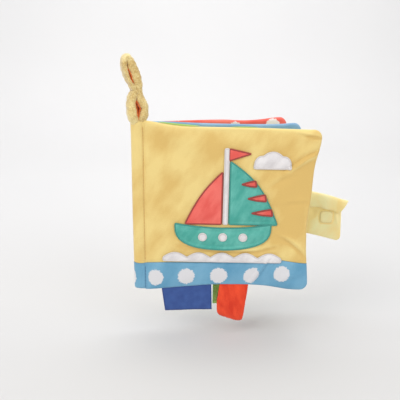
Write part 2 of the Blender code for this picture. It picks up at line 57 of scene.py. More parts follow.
# The book's own sizes, as the CAD has them
HEIGHT = 0.157
HINGE_X = 0.00665
FRONT_HINGE_Y = -0.00345
BACK_HINGE_Y = 0.00345
INNER_HINGE = (0.00865, -0.00105)
FRONT_WIDTH = 0.155
LEAF_WIDTH = 0.147
SEAM_DEPTH = 0.00105
CORNER = 0.008
EDGE_DRAW = 0.0035
EDGE_ROUND = 0.014
INNER_TURN = math.radians(9)
BACK_TURN = math.radians(19)
BAND_HEIGHT = 0.024
OUTSIDE = (0.0022, 0.018)
FACING = (0.0030, 0.070)
PAGE = (0.0020, 0.070)

# How the sewn edges close, and how fine the nets are
RIM_HALF = 0.00155
RIM_ROUND = 0.0026
NET = 0.0017
RIM_LEAST = 0.00004
FOLD_FADE = 0.004
DOT_PITCH = 0.0305
CUT = 0.00012

# Blender's wave texture repeats after this length at a scale of 1
WAVE_LENGTH = 0.314

# Seams: the groove of the stitched binding and the pull of other seams, as (depth, half width)
GROOVE = -0.0017
GROOVE_PULL = (0.0008, 0.0012)
BAND_PULL = (0.0006, 0.0013)
PATCH_PULL = (0.00055, 0.0028)

# Where the real cover's outline strays from the pattern: (place, shift) in metres
TOP_SHIFT = ((-0.0133, 0.0036), (0.0, 0.0034), (0.0035, 0.0026), (0.0235, -0.0005), (0.0408, -0.0018),
             (0.0662, -0.0019), (0.0893, -0.0018), (0.1124, -0.0022), (0.1448, -0.0027), (0.160, -0.0026))
FOOT_SHIFT = ((-0.0133, -0.0040), (-0.0040, -0.0047), (0.0035, -0.0046), (0.0140, -0.0031), (0.0629, 0.0018),
              (0.0975, 0.0024), (0.1198, 0.0010), (0.1299, -0.0014), (0.1411, -0.0025), (0.158, -0.0020))
EDGE_SHIFT = ((0.0, 0.0010), (0.0226, 0.0006), (0.0357, -0.0002), (0.0656, -0.0005), (0.0925, 0.0021),
              (0.1251, 0.0022), (0.1347, 0.0042), (0.1419, 0.0056), (0.157, 0.0056))
SPINE_SHIFT = ((0.0, 0.0012), (0.072, -0.0002), (0.150, -0.0012), (0.160, -0.0020))
BAND_TOP = ((-0.0133, 0.0238), (-0.0022, 0.0226), (0.0130, 0.0244), (0.0695, 0.0253), (0.0939, 0.0257),
            (0.1060, 0.0270), (0.1168, 0.0293), (0.1302, 0.0285), (0.1425, 0.0263), (0.1580, 0.0247))
INNER_TOP = ((0.0, 0.0018), (0.018, 0.0017), (0.0415, 0.0003), (0.0653, -0.0006), (0.0894, -0.0013),
             (0.126, -0.0016), (0.1372, -0.0004), (0.150, -0.0006))
INNER_EDGE = ((0.0, 0.0), (0.100, -0.0004), (0.135, -0.0018), (0.157, -0.0024))
BACK_TOP = ((0.0, 0.0008), (0.030, 0.0011), (0.0704, 0.0009), (0.0874, 0.0002), (0.0927, -0.0008),
            (0.110, -0.0008), (0.1207, -0.0003), (0.133, 0.0012), (0.150, 0.0010))
BACK_EDGE = ((0.0, 0.0), (0.095, -0.0006), (0.125, -0.0030), (0.145, -0.0055), (0.157, -0.0060))
LEVEL = ((0.0, 0.0), (0.157, 0.0))

# Folds in the front cover, from its hinge and foot: (path in mm, height, width)
CREASES = (
    (((157.0, 135.5), (154.5, 133.3), (145.0, 128.7), (135.7, 121.3), (127.0, 116.0)), 0.0022, 0.0021),
    (((126.0, 52.0), (134.4, 47.8), (142.0, 42.0), (150.9, 32.9)), 0.0014, 0.0024),
    (((128.0, 84.0), (135.7, 85.5), (147.7, 86.0), (152.0, 88.0)), 0.0005, 0.0024),
    (((138.0, 150.5), (147.0, 148.7), (158.0, 147.0)), 0.0013, 0.0017),
    (((30.0, 43.0), (51.0, 39.0), (65.0, 37.0), (85.0, 36.6), (104.0, 37.2), (121.0, 42.0)), 0.0014, 0.0021),
    (((100.0, 1.0), (106.0, 11.0), (112.0, 20.0), (117.0, 29.0)), 0.0016, 0.0020),
    (((128.0, 3.0), (134.0, 9.0), (146.0, 12.0)), 0.0007, 0.0026),
    (((112.0, 100.0), (124.0, 108.0), (136.0, 112.0)), 0.0006, 0.0030))

# Patches of pile brushed the other way, the last one painted shade: (x, z, half width, half height in mm,
# lean, darker or lighter)
BRUSHED = ((13, 143, 9, 11, -0.3, 0.22), (34, 138, 9, 17, -0.5, -0.14), (61, 136, 9, 13, 0.2, 0.14),
           (86, 148, 14, 6, 0.0, -0.10), (134, 120, 11, 17, 0.3, 0.17), (20, 74, 8, 7, 0.3, 0.14),
           (62, 27, 40, 3, 0.0, 0.14), (142, 60, 6, 12, 0.0, 0.14), (44, 100, 13, 16, -0.6, -0.10),
           (118, 70, 12, 9, 0.2, -0.06), (146, 96, 5, 10, 0.0, -0.12), (10, 110, 5, 20, 0.0, -0.10),
           (98, 30, 16, 4, 0.1, 0.10), (150, 148, 8, 6, 0.0, 0.10), (16, 40, 9, 14, 0.2, -0.06),
           # Painted shade over the right half, where less light falls
           (138, 88, 20, 42, 0.0, 0.30))


# Curves and shares

def table(rows, at):
    """Smoothly interpolated value of a (place, value) table."""
    places, values = zip(*rows)
    fine = np.linspace(places[0], places[-1], 160)
    ease = 8
    window = 2 * ease + 1
    step = np.pad(np.interp(fine, places, values), ease, mode="edge")
    return np.interp(at, fine, np.convolve(step, np.ones(window) / window, mode="valid"))


def smooth(share):
    """From 0 to 1 with a soft start and end."""
    share = np.clip(share, 0.0, 1.0)
    return share * share * (3 - 2 * share)


def dome(share):
    """From 0 to 1 as a quarter circle rises."""
    share = np.clip(share, 0.0, 1.0)
    return np.sqrt(1 - (1 - share) ** 2)


def hump(away, width):
    """1 at no distance, falling softly to 0."""
    return np.exp(-(away / width) ** 2)


def spot(x, z, wide, high):
    """A round hump in two directions."""
    return np.exp(-((x / wide) ** 2 + (z / high) ** 2))


def uneven(a, b, layer):
    """Soft noise at each place of a net."""
    a, b = np.broadcast_arrays(a, b)
    values = [noise.noise(Vector((float(u), float(v), layer))) for u, v in zip(a.ravel(), b.ravel())]
    return np.array(values).reshape(a.shape)


def stack(*parts):
    """Points or pairs from their coordinates."""
    return np.stack(np.broadcast_arrays(*parts), axis=-1)


def lengths(line):
    """How far along a line each of its points is."""
    return np.concatenate([[0], np.cumsum(np.linalg.norm(np.diff(line, axis=0), axis=1))])


def through(points, count):
    """A smooth curve through points, as count evenly shared samples."""
    points = np.array(points, float)
    ends = np.concatenate([[2 * points[0] - points[1]], points, [2 * points[-1] - points[-2]]])
    at = np.linspace(0, len(points) - 1, count)
    k = np.minimum(at.astype(int), len(points) - 2)
    t = (at - k)[:, None]
    a, b, c, d = (ends[k + j] for j in range(4))
    square, cube = 2 * a - 5 * b + 4 * c - d, 3 * b - a - 3 * c + d
    return 0.5 * (2 * b + (c - a) * t + square * t ** 2 + cube * t ** 3)


def ring(half_across, half_along, count=12, power=1.0):
    """A round or squarish section for tube()."""
    turn = [2 * math.pi * k / count for k in range(count)]
    return [(half_across * math.copysign(abs(math.cos(a)) ** power, math.cos(a)),
             half_along * math.copysign(abs(math.sin(a)) ** power, math.sin(a))) for a in turn]


# Materials

def linear(hexed, alpha=1.0):
    """An sRGB colour such as '#E9C676' as Blender's linear values."""
    parts = [int(hexed[k:k + 2], 16) / 255 for k in (1, 3, 5)]
    return tuple(c / 12.92 if c <= 0.04045 else ((c + 0.055) / 1.055) ** 2.4 for c in parts) + (alpha,)


def add(tree, kind, inputs, **settings):
    """Adds one node with its settings, values and links."""
    node = tree.nodes.new(kind)
    for key, value in settings.items():
        setattr(node, key, value)
    for socket, value in inputs.items():
        if isinstance(value, bpy.types.NodeSocket):
            tree.links.new(value, node.inputs[socket])
        else:
            node.inputs[socket].default_value = value
    return node


def finish_of(name, roughness, sheen, specular=0.3):
    """A new cloth material, its shader and its node tree."""
    material = bpy.data.materials.new(name)
    material.use_nodes = True
    shader = material.node_tree.nodes["Principled BSDF"]
    values = {"Roughness": roughness, "Specular IOR Level": specular, "Sheen Weight": sheen,
              "Sheen Roughness": 0.45}
    for socket, value in values.items():
        shader.inputs[socket].default_value = value
    return material, shader, material.node_tree


def brushed_pile(name, light, shade, sheen=0.30, pile=0.0011, depth=0.00035, patch=0.030, dots=None):
    """Velour or plush: short pile, brushed into lighter and darker patches, with printed dots if asked.

    pile is the size of a tuft as drawn; real tufts are 0.3 mm and would not show.
    """
    material, shader, tree = finish_of(name, 0.95, sheen)
    cloth = add(tree, "ShaderNodeUVMap", {}, uv_map="cloth").outputs["UV"]
    slant = add(tree, "ShaderNodeMapping", {"Vector": cloth, "Rotation": (0, 0, 1.05),
                                            "Scale": (2.1, 1.0, 1.0)}, vector_type="TEXTURE")
    tone_and_painted_light = add(tree, "ShaderNodeTexNoise", {"Vector": slant.outputs["Vector"], "Scale": 1 / patch,
                                           "Detail": 3.0})
    # Per point: more brushed patches, and on some pieces painted shade and painted highlight
    painted_light_and_pile_tone = add(tree, "ShaderNodeAttribute", {}, attribute_name="tone_and_painted_light").outputs["Fac"]
    both = add(tree, "ShaderNodeMath", {0: tone_and_painted_light.outputs["Fac"], 1: painted_light_and_pile_tone}, operation="ADD")
    spread = add(tree, "ShaderNodeMapRange", {"Value": both.outputs["Value"], "From Min": 0.36,
                                              "From Max": 0.66})
    tufts = add(tree, "ShaderNodeTexNoise", {"Vector": cloth, "Scale": 1 / pile, "Detail": 2.0,
                                             "Roughness": 0.6})
    grain = add(tree, "ShaderNodeMapRange", {"Value": tufts.outputs["Fac"], "From Min": 0.25,
                                             "From Max": 0.75, "To Min": -0.16, "To Max": 0.16})
    share = add(tree, "ShaderNodeMath", {0: spread.outputs["Result"], 1: grain.outputs["Result"]},
                operation="ADD", use_clamp=True)
    mix = add(tree, "ShaderNodeMix", {0: share.outputs["Value"], 6: linear(light), 7: linear(shade)},
              data_type="RGBA")
    colour, height = mix.outputs[2], tufts.outputs["Fac"]
    if dots:
        colour, height = dotted(tree, cloth, colour, height, *dots)
    tree.links.new(colour, shader.inputs["Base Color"])
    relief = add(tree, "ShaderNodeBump", {"Height": height, "Strength": 0.55, "Distance": depth})
    tree.links.new(relief.outputs["Normal"], shader.inputs["Normal"])
    return material


def dotted(tree, cloth, ground, height, colour, radius):
    """White dots with a ragged pile edge, one at each whole number of the 'dots' map."""
    half, rim = (0.5, 0.5, 0.0), radius / DOT_PITCH
    printed = add(tree, "ShaderNodeUVMap", {}, uv_map="dots").outputs["UV"]
    moved = add(tree, "ShaderNodeVectorMath", {0: printed, 1: half}, operation="ADD")
    cell = add(tree, "ShaderNodeVectorMath", {0: moved.outputs["Vector"]}, operation="FRACTION")
    middle = add(tree, "ShaderNodeVectorMath", {0: cell.outputs["Vector"], 1: half}, operation="SUBTRACT")
    away = add(tree, "ShaderNodeVectorMath", {0: middle.outputs["Vector"]}, operation="LENGTH")
    tufts = add(tree, "ShaderNodeTexNoise", {"Vector": cloth, "Scale": 560.0, "Detail": 1.0})
    ragged = add(tree, "ShaderNodeMath", {0: tufts.outputs["Fac"], 1: 0.120, 2: away.outputs["Value"]},
                 operation="MULTIPLY_ADD")
    inside = add(tree, "ShaderNodeMapRange", {"Value": ragged.outputs["Value"], "From Min": rim + 0.074,
                                              "From Max": rim + 0.046}).outputs["Result"]
    mix = add(tree, "ShaderNodeMix", {0: inside, 6: ground, 7: linear(colour)}, data_type="RGBA")
    raised = add(tree, "ShaderNodeMath", {0: inside, 1: 0.8, 2: height}, operation="MULTIPLY_ADD")
    return mix.outputs[2], raised.outputs["Value"]


def woven(name, light, shade, thread, roughness, sheen, specular):
    """A ribbon or label: fine cross ribs of weft, wider than the real 0.15 mm thread so that they show."""
    material, shader, tree = finish_of(name, roughness, sheen, specular)
    cloth = add(tree, "ShaderNodeUVMap", {}, uv_map="cloth").outputs["UV"]
    weft = add(tree, "ShaderNodeTexWave", {"Vector": cloth, "Scale": WAVE_LENGTH / thread,
                                           "Distortion": 0.6, "Detail": 1.0}, bands_direction="Y")
    warp = add(tree, "ShaderNodeTexWave", {"Vector": cloth, "Scale": WAVE_LENGTH / thread,
                                           "Distortion": 0.4}, bands_direction="X")
    cross = add(tree, "ShaderNodeMath", {0: weft.outputs["Fac"], 1: warp.outputs["Fac"]},
                operation="MULTIPLY").outputs["Value"]
    wear = add(tree, "ShaderNodeTexNoise", {"Vector": cloth, "Scale": 120.0, "Detail": 2.0})
    border = add(tree, "ShaderNodeAttribute", {}, attribute_name="tone_and_painted_light").outputs["Fac"]
    faded = add(tree, "ShaderNodeMath", {0: cross, 1: 0.35, 2: wear.outputs["Fac"]},
                operation="MULTIPLY_ADD")
    share = add(tree, "ShaderNodeMath", {0: faded.outputs["Value"], 1: border}, operation="ADD",
                use_clamp=True)
    mix = add(tree, "ShaderNodeMix", {0: share.outputs["Value"], 6: linear(light), 7: linear(shade)},
              data_type="RGBA")
    tree.links.new(mix.outputs[2], shader.inputs["Base Color"])
    relief = add(tree, "ShaderNodeBump", {"Height": cross, "Strength": 0.5, "Distance": 0.00015})
    tree.links.new(relief.outputs["Normal"], shader.inputs["Normal"])
    return material


def looped_terry(name, light, shade, loop=0.0012):
    """Terry: loops of yarn about 1.2 mm across, with shade between them."""
    material, shader, tree = finish_of(name, 0.95, 0.60)
    cloth = add(tree, "ShaderNodeUVMap", {}, uv_map="cloth").outputs["UV"]
    loops = add(tree, "ShaderNodeTexVoronoi", {"Vector": cloth, "Scale": 1 / loop,
                                               "Randomness": 0.9}).outputs["Distance"]
    wear = add(tree, "ShaderNodeTexNoise", {"Vector": cloth, "Scale": 190.0, "Detail": 3.0})
    worn = add(tree, "ShaderNodeMath", {0: loops, 1: 0.55, 2: wear.outputs["Fac"]},
               operation="MULTIPLY_ADD")
    spread = add(tree, "ShaderNodeMapRange", {"Value": worn.outputs["Value"], "From Min": 0.46,
                                              "From Max": 1.02})
    # Per point: painted highlight and painted shade, and a lighter foot
    painted_light_and_foot_tone = add(tree, "ShaderNodeAttribute", {}, attribute_name="tone_and_painted_light").outputs["Fac"]
    share = add(tree, "ShaderNodeMath", {0: spread.outputs["Result"], 1: painted_light_and_foot_tone}, operation="ADD",
                use_clamp=True)
    mix = add(tree, "ShaderNodeMix", {0: share.outputs["Value"], 6: linear(light), 7: linear(shade)},
              data_type="RGBA")
    tree.links.new(mix.outputs[2], shader.inputs["Base Color"])
    relief = add(tree, "ShaderNodeBump", {"Height": loops, "Strength": 0.55, "Distance": 0.0005},
                 invert=True)
    tree.links.new(relief.outputs["Normal"], shader.inputs["Normal"])
    return material


def spun_thread(name, light, shade, lay):
    """Polyester embroidery thread laid side by side; lay is the width of one thread as drawn."""
    material, shader, tree = finish_of(name, 0.55, 0.15, 0.45)
    cloth = add(tree, "ShaderNodeUVMap", {}, uv_map="cloth").outputs["UV"]
    threads = add(tree, "ShaderNodeTexWave", {"Vector": cloth, "Scale": WAVE_LENGTH / lay, "Distortion": 1.2,
                                              "Detail": 1.0}, bands_direction="X").outputs["Fac"]
    mix = add(tree, "ShaderNodeMix", {0: threads, 6: linear(shade), 7: linear(light)}, data_type="RGBA")
    tree.links.new(mix.outputs[2], shader.inputs["Base Color"])
    relief = add(tree, "ShaderNodeBump", {"Height": threads, "Strength": 0.6, "Distance": 0.0002})
    tree.links.new(relief.outputs["Normal"], shader.inputs["Normal"])
    return material


def matt_paper(name, shade, light):
    """The studio's paper sweep: even, dull, with the faintest mottle."""
    material, shader, tree = finish_of(name, 0.9, 0.0, 0.2)
    place = add(tree, "ShaderNodeTexCoord", {}).outputs["Object"]
    mottle = add(tree, "ShaderNodeTexNoise", {"Vector": place, "Scale": 3.0, "Detail": 2.0})
    mix = add(tree, "ShaderNodeMix", {0: mottle.outputs["Fac"], 6: linear(shade), 7: linear(light)},
              data_type="RGBA")
    tree.links.new(mix.outputs[2], shader.inputs["Base Color"])
    return material


# Cotton velour, knitted and sheared: a short even pile with no gloss, that mottles where hands brush it
YELLOW_VELOUR = brushed_pile("cotton_velour_warm_yellow", "#EFD58B", "#E0BC70", patch=0.021)
LEMON_VELOUR = brushed_pile("cotton_velour_pale_lemon", "#FFF2B8", "#FFE196", sheen=0.60, patch=0.016)
GREEN_VELOUR = brushed_pile("cotton_velour_light_green", "#C2DC84", "#A8CA6C")
BLUE_VELOUR = brushed_pile("cotton_velour_mid_blue", "#9CBCD4", "#7CA4C4")
# Short plush, knitted and printed: softer and matter than the velour, so that the dots' edges break up
BLUE_PLUSH = brushed_pile("short_plush_blue_with_dots", "#7CB0CC", "#629CBC", patch=0.022,
                          dots=("#DEDDDF", 0.0080))
CORAL_PLUSH = brushed_pile("short_plush_coral_with_dots", "#F27B6C", "#E4594D", dots=("#EDE4DF", 0.0088))
# Applique plush, cut and sewn on: its pile lies flat near the stitching and stands up in the middle
TEAL_PLUSH = brushed_pile("short_plush_teal", "#6CBEB0", "#4CA698", pile=0.0009, patch=0.010, sheen=0.25)
WHITE_PLUSH = brushed_pile("short_plush_white", "#EDE9E8", "#D9D4D4", pile=0.0009, patch=0.010)
# Polyester felt, needled and brushed: a dull, dense and even colour
CORAL_FELT = brushed_pile("brushed_felt_coral", "#F4776C", "#E75F56", pile=0.0009, patch=0.010)
WHITE_FELT = brushed_pile("needled_wadding_white", "#EDEAE4", "#D8D3CA")
# Plush ribbon, woven with a long pile: saturated, with bright tufts along its folded edges
RED_PLUSH = brushed_pile("plush_ribbon_orange_red", "#F4522F", "#DA3A20", depth=0.0005, patch=0.008)
# Brushed cotton lining: dull, and dark inside the folds of the loop
ORANGE_COTTON = brushed_pile("brushed_cotton_orange", "#FA8B42", "#DE6A28", patch=0.010)
# Terry, knitted in uncut loops: a grainy surface with shade between the loops and no gloss
LEMON_TERRY = looped_terry("looped_terry_pale_lemon", "#F1DD9E", "#CDAB68")
# Damask label, woven on a fine loom: flat and smooth with a slight thread gloss and a darker turned edge
NAVY_DAMASK = woven("woven_damask_label_blue", "#4668AA", "#2A4484", 0.00045, 0.55, 0.10, 0.35)
# Satin ribbon, woven: the long floats of its threads give a soft gloss across it
GREEN_SATIN = woven("woven_satin_ribbon_green", "#C0FF8A", "#A2EC6C", 0.00040, 0.38, 0.10, 0.5)
# Polyester thread, spun: side by side in satin stitch it makes a raised, slightly shiny cord
TEAL_THREAD = spun_thread("spun_thread_dark_teal", "#4BA99C", "#2F8579", 0.00055)
RED_THREAD = spun_thread("spun_thread_dark_red", "#B8483F", "#8E3A34", 0.00055)
WHITE_THREAD = spun_thread("spun_thread_off_white", "#E9E4E2", "#CFC9C6", 0.00055)
YELLOW_THREAD = spun_thread("spun_thread_ochre", "#F0C87C", "#DBA758", 0.00040)
BLUE_THREAD = spun_thread("spun_thread_mid_blue", "#5A93BC", "#3F759E", 0.00040)
LEMON_THREAD = spun_thread("spun_thread_straw", "#F3CE86", "#DEB066", 0.00040)
# Seamless paper, matt: nearly white and even, so that it only takes the soft shadow
PAPER = matt_paper("seamless_paper_white", "#D0CFCE", "#D5D4D2")


# Making and tying pieces

def placed(name, data):
    """A new object in the scene."""
    thing = bpy.data.objects.new(name, data)
    bpy.context.scene.collection.objects.link(thing)
    return thing


def places_of(piece):
    return np.array([tuple(v.co) for v in piece.data.vertices])


def set_painted_light_and_tone(piece, values):
    """How much darker (above 0) or lighter each point looks: brushed pile, a darker turned edge, painted
    shade and painted highlight.
    """
    piece.data.attributes["tone_and_painted_light"].data.foreach_set("value", values.reshape(-1).astype(np.float32))


def cloth_from(name, points, cloth, finish, facing, dots=None, tone_and_painted_light=None, wrap=False):
    """A piece of cloth from a net of points, its pattern places and its right side's direction."""
    rows, columns = points.shape[:2]
    spans = columns if wrap else columns - 1
    corner = []
    for i in range(rows - 1):
        for j in range(spans):
            here, beside = i * columns + j, i * columns + (j + 1) % columns
            corner.append((here, beside, beside + columns, here + columns))
    corner = np.array(corner)
    flat = points.reshape(-1, 3)
    a, b, c = (flat[corner[:, k]] for k in range(3))
    if (np.cross(b - a, c - b).sum(axis=0) * np.array(facing)).sum() < 0:
        corner = corner[:, ::-1]
    mesh = bpy.data.meshes.new(name)
    mesh.from_pydata([tuple(p) for p in flat], [], corner.tolist())
    for map_name, places in (("cloth", cloth), ("dots", dots)):
        if places is not None:
            layer = mesh.uv_layers.new(name=map_name)
            layer.data.foreach_set("uv", places.reshape(-1, 2)[corner.ravel()].astype(np.float32).ravel())
    # A per-point tone: brushed pile, a darker turned edge, painted shade and painted highlight
    mesh.attributes.new("tone_and_painted_light", "FLOAT", "POINT")
    mesh.shade_smooth()
    mesh.materials.append(finish)
    piece = placed(name, mesh)
    if tone_and_painted_light is not None:
        set_painted_light_and_tone(piece, tone_and_painted_light)
    return piece


def joined(name, pieces):
    """Joins several pieces of one finish into one named piece."""
    shape = bmesh.new()
    for piece in pieces:
        shape.from_mesh(piece.data)
    mesh = bpy.data.meshes.new(name)
    shape.to_mesh(mesh)
    shape.free()
    mesh.materials.append(pieces[0].data.materials[0])
    mesh.shade_smooth()
    whole = placed(name, mesh)
    for piece in pieces:
        bpy.data.objects.remove(piece, do_unlink=True)
    return whole


def tube(name, path, side, section, finish, sizes=None, closed=False):
    """A cord, roll or strap: a section of (across, along side) points carried along a path."""
    path, section = np.array(path, float), np.array(section, float)
    ahead = np.roll(path, -1, axis=0) - np.roll(path, 1, axis=0)
    if not closed:
        ahead[0], ahead[-1] = path[1] - path[0], path[-1] - path[-2]
    ahead /= np.linalg.norm(ahead, axis=1)[:, None]
    side = np.broadcast_to(np.array(side, float), path.shape)
    side = side - (side * ahead).sum(axis=1)[:, None] * ahead
    side = side / np.linalg.norm(side, axis=1)[:, None]
    across = np.cross(side, ahead)
    sizes = np.ones((len(path), 2)) if sizes is None else np.array(sizes, float)
    points = (path[:, None] + across[:, None] * (section[None, :, 0] * sizes[:, None, 0])[..., None]
              + side[:, None] * (section[None, :, 1] * sizes[:, None, 1])[..., None])
    run = lengths(path)
    places = stack(run[:, None], lengths(section)[None, :])
    if closed:
        points = np.concatenate([points, points[:1]])
        places = np.concatenate([places, places[:1] + [run[-1] * 0.001, 0]])
    piece = cloth_from(name, points, places, finish, (0, 0, 0), wrap=True)
    shape = bmesh.new()
    shape.from_mesh(piece.data)
    if closed:
        bmesh.ops.remove_doubles(shape, verts=shape.verts, dist=0.00001)
    else:
        bmesh.ops.holes_fill(shape, edges=shape.edges)
    bmesh.ops.recalc_face_normals(shape, faces=shape.faces)
    shape.to_mesh(piece.data)
    shape.free()
    return piece


def roughen(piece, size, depth, seed=0.0, looped=False):
    """Pushes a mesh in and out a little, as padding does, or in loops of yarn of about the given size."""
    mesh = piece.data
    for vertex, normal in zip(mesh.vertices, [v.normal.copy() for v in mesh.vertices]):
        place = vertex.co / size + Vector((seed, 0, 0))
        vertex.co += normal * depth * (0.5 - noise.voronoi(place)[0][0] if looped else noise.noise(place))
    mesh.update()


def carry(piece, body):
    """Ties a piece to its body; given (body, other body, start and end of the bend), it only fixes the piece
    where it is.
    """
    if isinstance(body, str):
        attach(piece, body)
    else:
        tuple(body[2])
        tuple(body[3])
        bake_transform(piece)


def dress(piece, body, nodes, slot):
    """Ties a piece to what carries it and hides the nodes it replaces; slot is not used."""
    carry(piece, body)
    if nodes:
        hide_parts(*nodes)


# The leaves

class Leaf:
    """A padded leaf: x from its hinge, n towards the back, z up; its faces meet at the seam plane."""

    def __init__(self, hinge, turn, width, seam, front, rear, top, edge, foot=LEVEL, spine=LEVEL):
        self.hinge, self.turn, self.width, self.seam = hinge, turn, width, seam
        self.crown = {-1: front, 1: rear}
        self.top, self.edge, self.foot, self.spine = top, edge, foot, spine
        self.puckers = {}

    def drawn(self, z):
        """The free edge's distance from the hinge, drawn in between its corners."""
        return self.width - EDGE_DRAW * np.sin(math.pi * np.clip(z / HEIGHT, 0, 1))

    def reach(self, z):
        """The same with its round corners."""
        inset = np.clip(CORNER - np.minimum(z, HEIGHT - z), 0.0, CORNER)
        return self.drawn(z) - (CORNER - np.sqrt(CORNER ** 2 - inset ** 2))

    def from_edge(self, x, z):
        across = x - (self.drawn(z) - CORNER)
        along = CORNER - np.minimum(z, HEIGHT - z)
        corner = CORNER - np.hypot(across, along)
        return np.where((across > 0) & (along > 0), corner, CORNER - np.maximum(across, along))

    def stray(self, x, z):
        """How far the sewn outline pulls a pattern point aside and up."""
        up = z / HEIGHT
        aside = np.clip(x / self.width, 0, 1.1) * table(self.edge, z)
        aside = aside + (1 - smooth((x + 0.013) / 0.060)) * table(self.spine, z)
        return aside, (1 - up) * table(self.foot, x) + up * table(self.top, x)

    def pattern(self, x, z):
        """The pattern point that ends up at (x, z)."""
        px, pz = np.array(x, float), np.array(z, float)
        for _ in range(4):
            aside, lift = self.stray(px, pz)
            px, pz = x - aside, z - lift
        return px, pz

    def pucker(self, side, x, z):
        """The wrinkle height that the simulated cloth left at a pattern point."""
        if side not in self.puckers:
            return 0.0
        field = self.puckers[side]
        rows, columns = field.shape
        i = np.clip(z / HEIGHT, 0, 1) * (rows - 1)
        j = np.clip(x / np.maximum(self.reach(np.clip(z, 0, HEIGHT)), 1e-6), 0, 1) * (columns - 1)
        i0, j0 = np.minimum(i.astype(int), rows - 2), np.minimum(j.astype(int), columns - 2)
        di, dj = smooth(i - i0), smooth(j - j0)
        return ((field[i0, j0] * (1 - di) + field[i0 + 1, j0] * di) * (1 - dj)
                + (field[i0, j0 + 1] * (1 - di) + field[i0 + 1, j0 + 1] * di) * dj)

    def swell(self, side, x, z, open_hinge):
        """Distance from the seam plane to the cloth's right side, at a pattern point."""
        edge = np.maximum(self.from_edge(x, z), 0.0)
        crown, ramp = self.crown[side]
        rim = RIM_HALF * dome(edge / RIM_ROUND) + RIM_LEAST
        if not open_hinge:
            rim = rim * dome((x + 0.0012) / 0.0025)
        full = crown * smooth(x / ramp) * dome(edge / EDGE_ROUND)
        full = full - (RIM_HALF - SEAM_DEPTH) * smooth(edge / EDGE_ROUND)
        return rim + full + self.pucker(side, x, z) * smooth(edge / FOLD_FADE)

    def point(self, side, x, z, lift=0.0, open_hinge=False):
        """The place of the cloth's right side over a pattern point, raised by lift."""
        n = self.seam + side * (self.swell(side, x, z, open_hinge) + lift)
        aside, up = self.stray(x, z)
        x, z = x + aside, z + up
        c, s = math.cos(self.turn), math.sin(self.turn)
        return stack(self.hinge[0] + x * c - n * s, self.hinge[1] + x * s + n * c, z)

    def outward(self, side):
        return Vector((-math.sin(self.turn) * side, math.cos(self.turn) * side, 0.0))


def settle_cloth(name, leaf, slack):
    """Both cloths of a leaf, sewn round the edge, laid on springy wadding and let settle.

    Each cloth is cut a little larger than the outline, so it gathers along the seam and wrinkles.
    What is kept is how far it rose or sank, without the broad bulge that the leaf already has.
    """
    count, last_frame, deepest = 54, 20, 0.0011
    z = np.linspace(0, HEIGHT, count)[:, None] * np.ones((1, count))
    x = leaf.reach(z) * np.linspace(0, 1, count)[None, :]
    edge = np.minimum(leaf.from_edge(x, z), x)
    for side in (-1, 1):
        laid = 0.0007 * uneven(x * 55, z * 55, side * 9.1 + leaf.turn * 40) * smooth(edge / 0.008)
        start = leaf.point(side, x, z, lift=laid, open_hinge=True)
        sheet = cloth_from(name, start, stack(x, z), WHITE_FELT, leaf.outward(side))
        held = sheet.vertex_groups.new(name="held")
        loose = sheet.vertex_groups.new(name="slack")
        for k, gap in enumerate(edge.ravel()):
            held.add([k], 1.0 if gap < 0.0012 else 0.05, "REPLACE")
            loose.add([k], float(np.clip(1 - gap / 0.045, 0.25, 1.0)), "REPLACE")
        cloth = sheet.modifiers.new("settle", "CLOTH")
        make = cloth.settings
        make.quality, make.mass = 5, 0.15
        make.tension_stiffness = make.compression_stiffness = 12
        make.shear_stiffness, make.bending_stiffness = 6, 0.25
        make.vertex_group_mass, make.pin_stiffness = "held", 1.0
        make.vertex_group_shrink, make.shrink_min, make.shrink_max = "slack", 0.0, -slack
        make.use_pressure, make.uniform_pressure_force = True, 0.6
        make.effector_weights.gravity = 0.0
        cloth.point_cache.frame_start, cloth.point_cache.frame_end = 1, last_frame
        for step in range(1, last_frame + 1):
            bpy.context.scene.frame_set(step)
        settled = sheet.evaluated_get(bpy.context.evaluated_depsgraph_get())
        moved = places_of(settled).reshape(count, count, 3) - start
        rose = moved @ np.array(leaf.outward(side)) + laid
        bpy.data.objects.remove(sheet, do_unlink=True)
        broad = rose.copy()
        for _ in range(60):
            near = np.pad(broad, 1, mode="edge")
            broad = (near[:-2, 1:-1] + near[2:, 1:-1] + near[1:-1, :-2] + near[1:-1, 2:]) / 4
        leaf.puckers[side] = np.clip(rose - broad, -deepest, deepest)
    bpy.context.scene.frame_set(1)


front = Leaf((HINGE_X, FRONT_HINGE_Y), 0.0, FRONT_WIDTH, SEAM_DEPTH, OUTSIDE, FACING, TOP_SHIFT, EDGE_SHIFT,
             FOOT_SHIFT, SPINE_SHIFT)
inner = Leaf(INNER_HINGE, INNER_TURN, LEAF_WIDTH, SEAM_DEPTH, PAGE, PAGE, INNER_TOP, INNER_EDGE)
back = Leaf((HINGE_X, BACK_HINGE_Y), BACK_TURN, LEAF_WIDTH, -SEAM_DEPTH, FACING, OUTSIDE, BACK_TOP, BACK_EDGE)

settle_cloth("settling_front_cover", front, 0.030)
settle_cloth("settling_inner_leaf", inner, 0.024)
settle_cloth("settling_back_cover", back, 0.024)


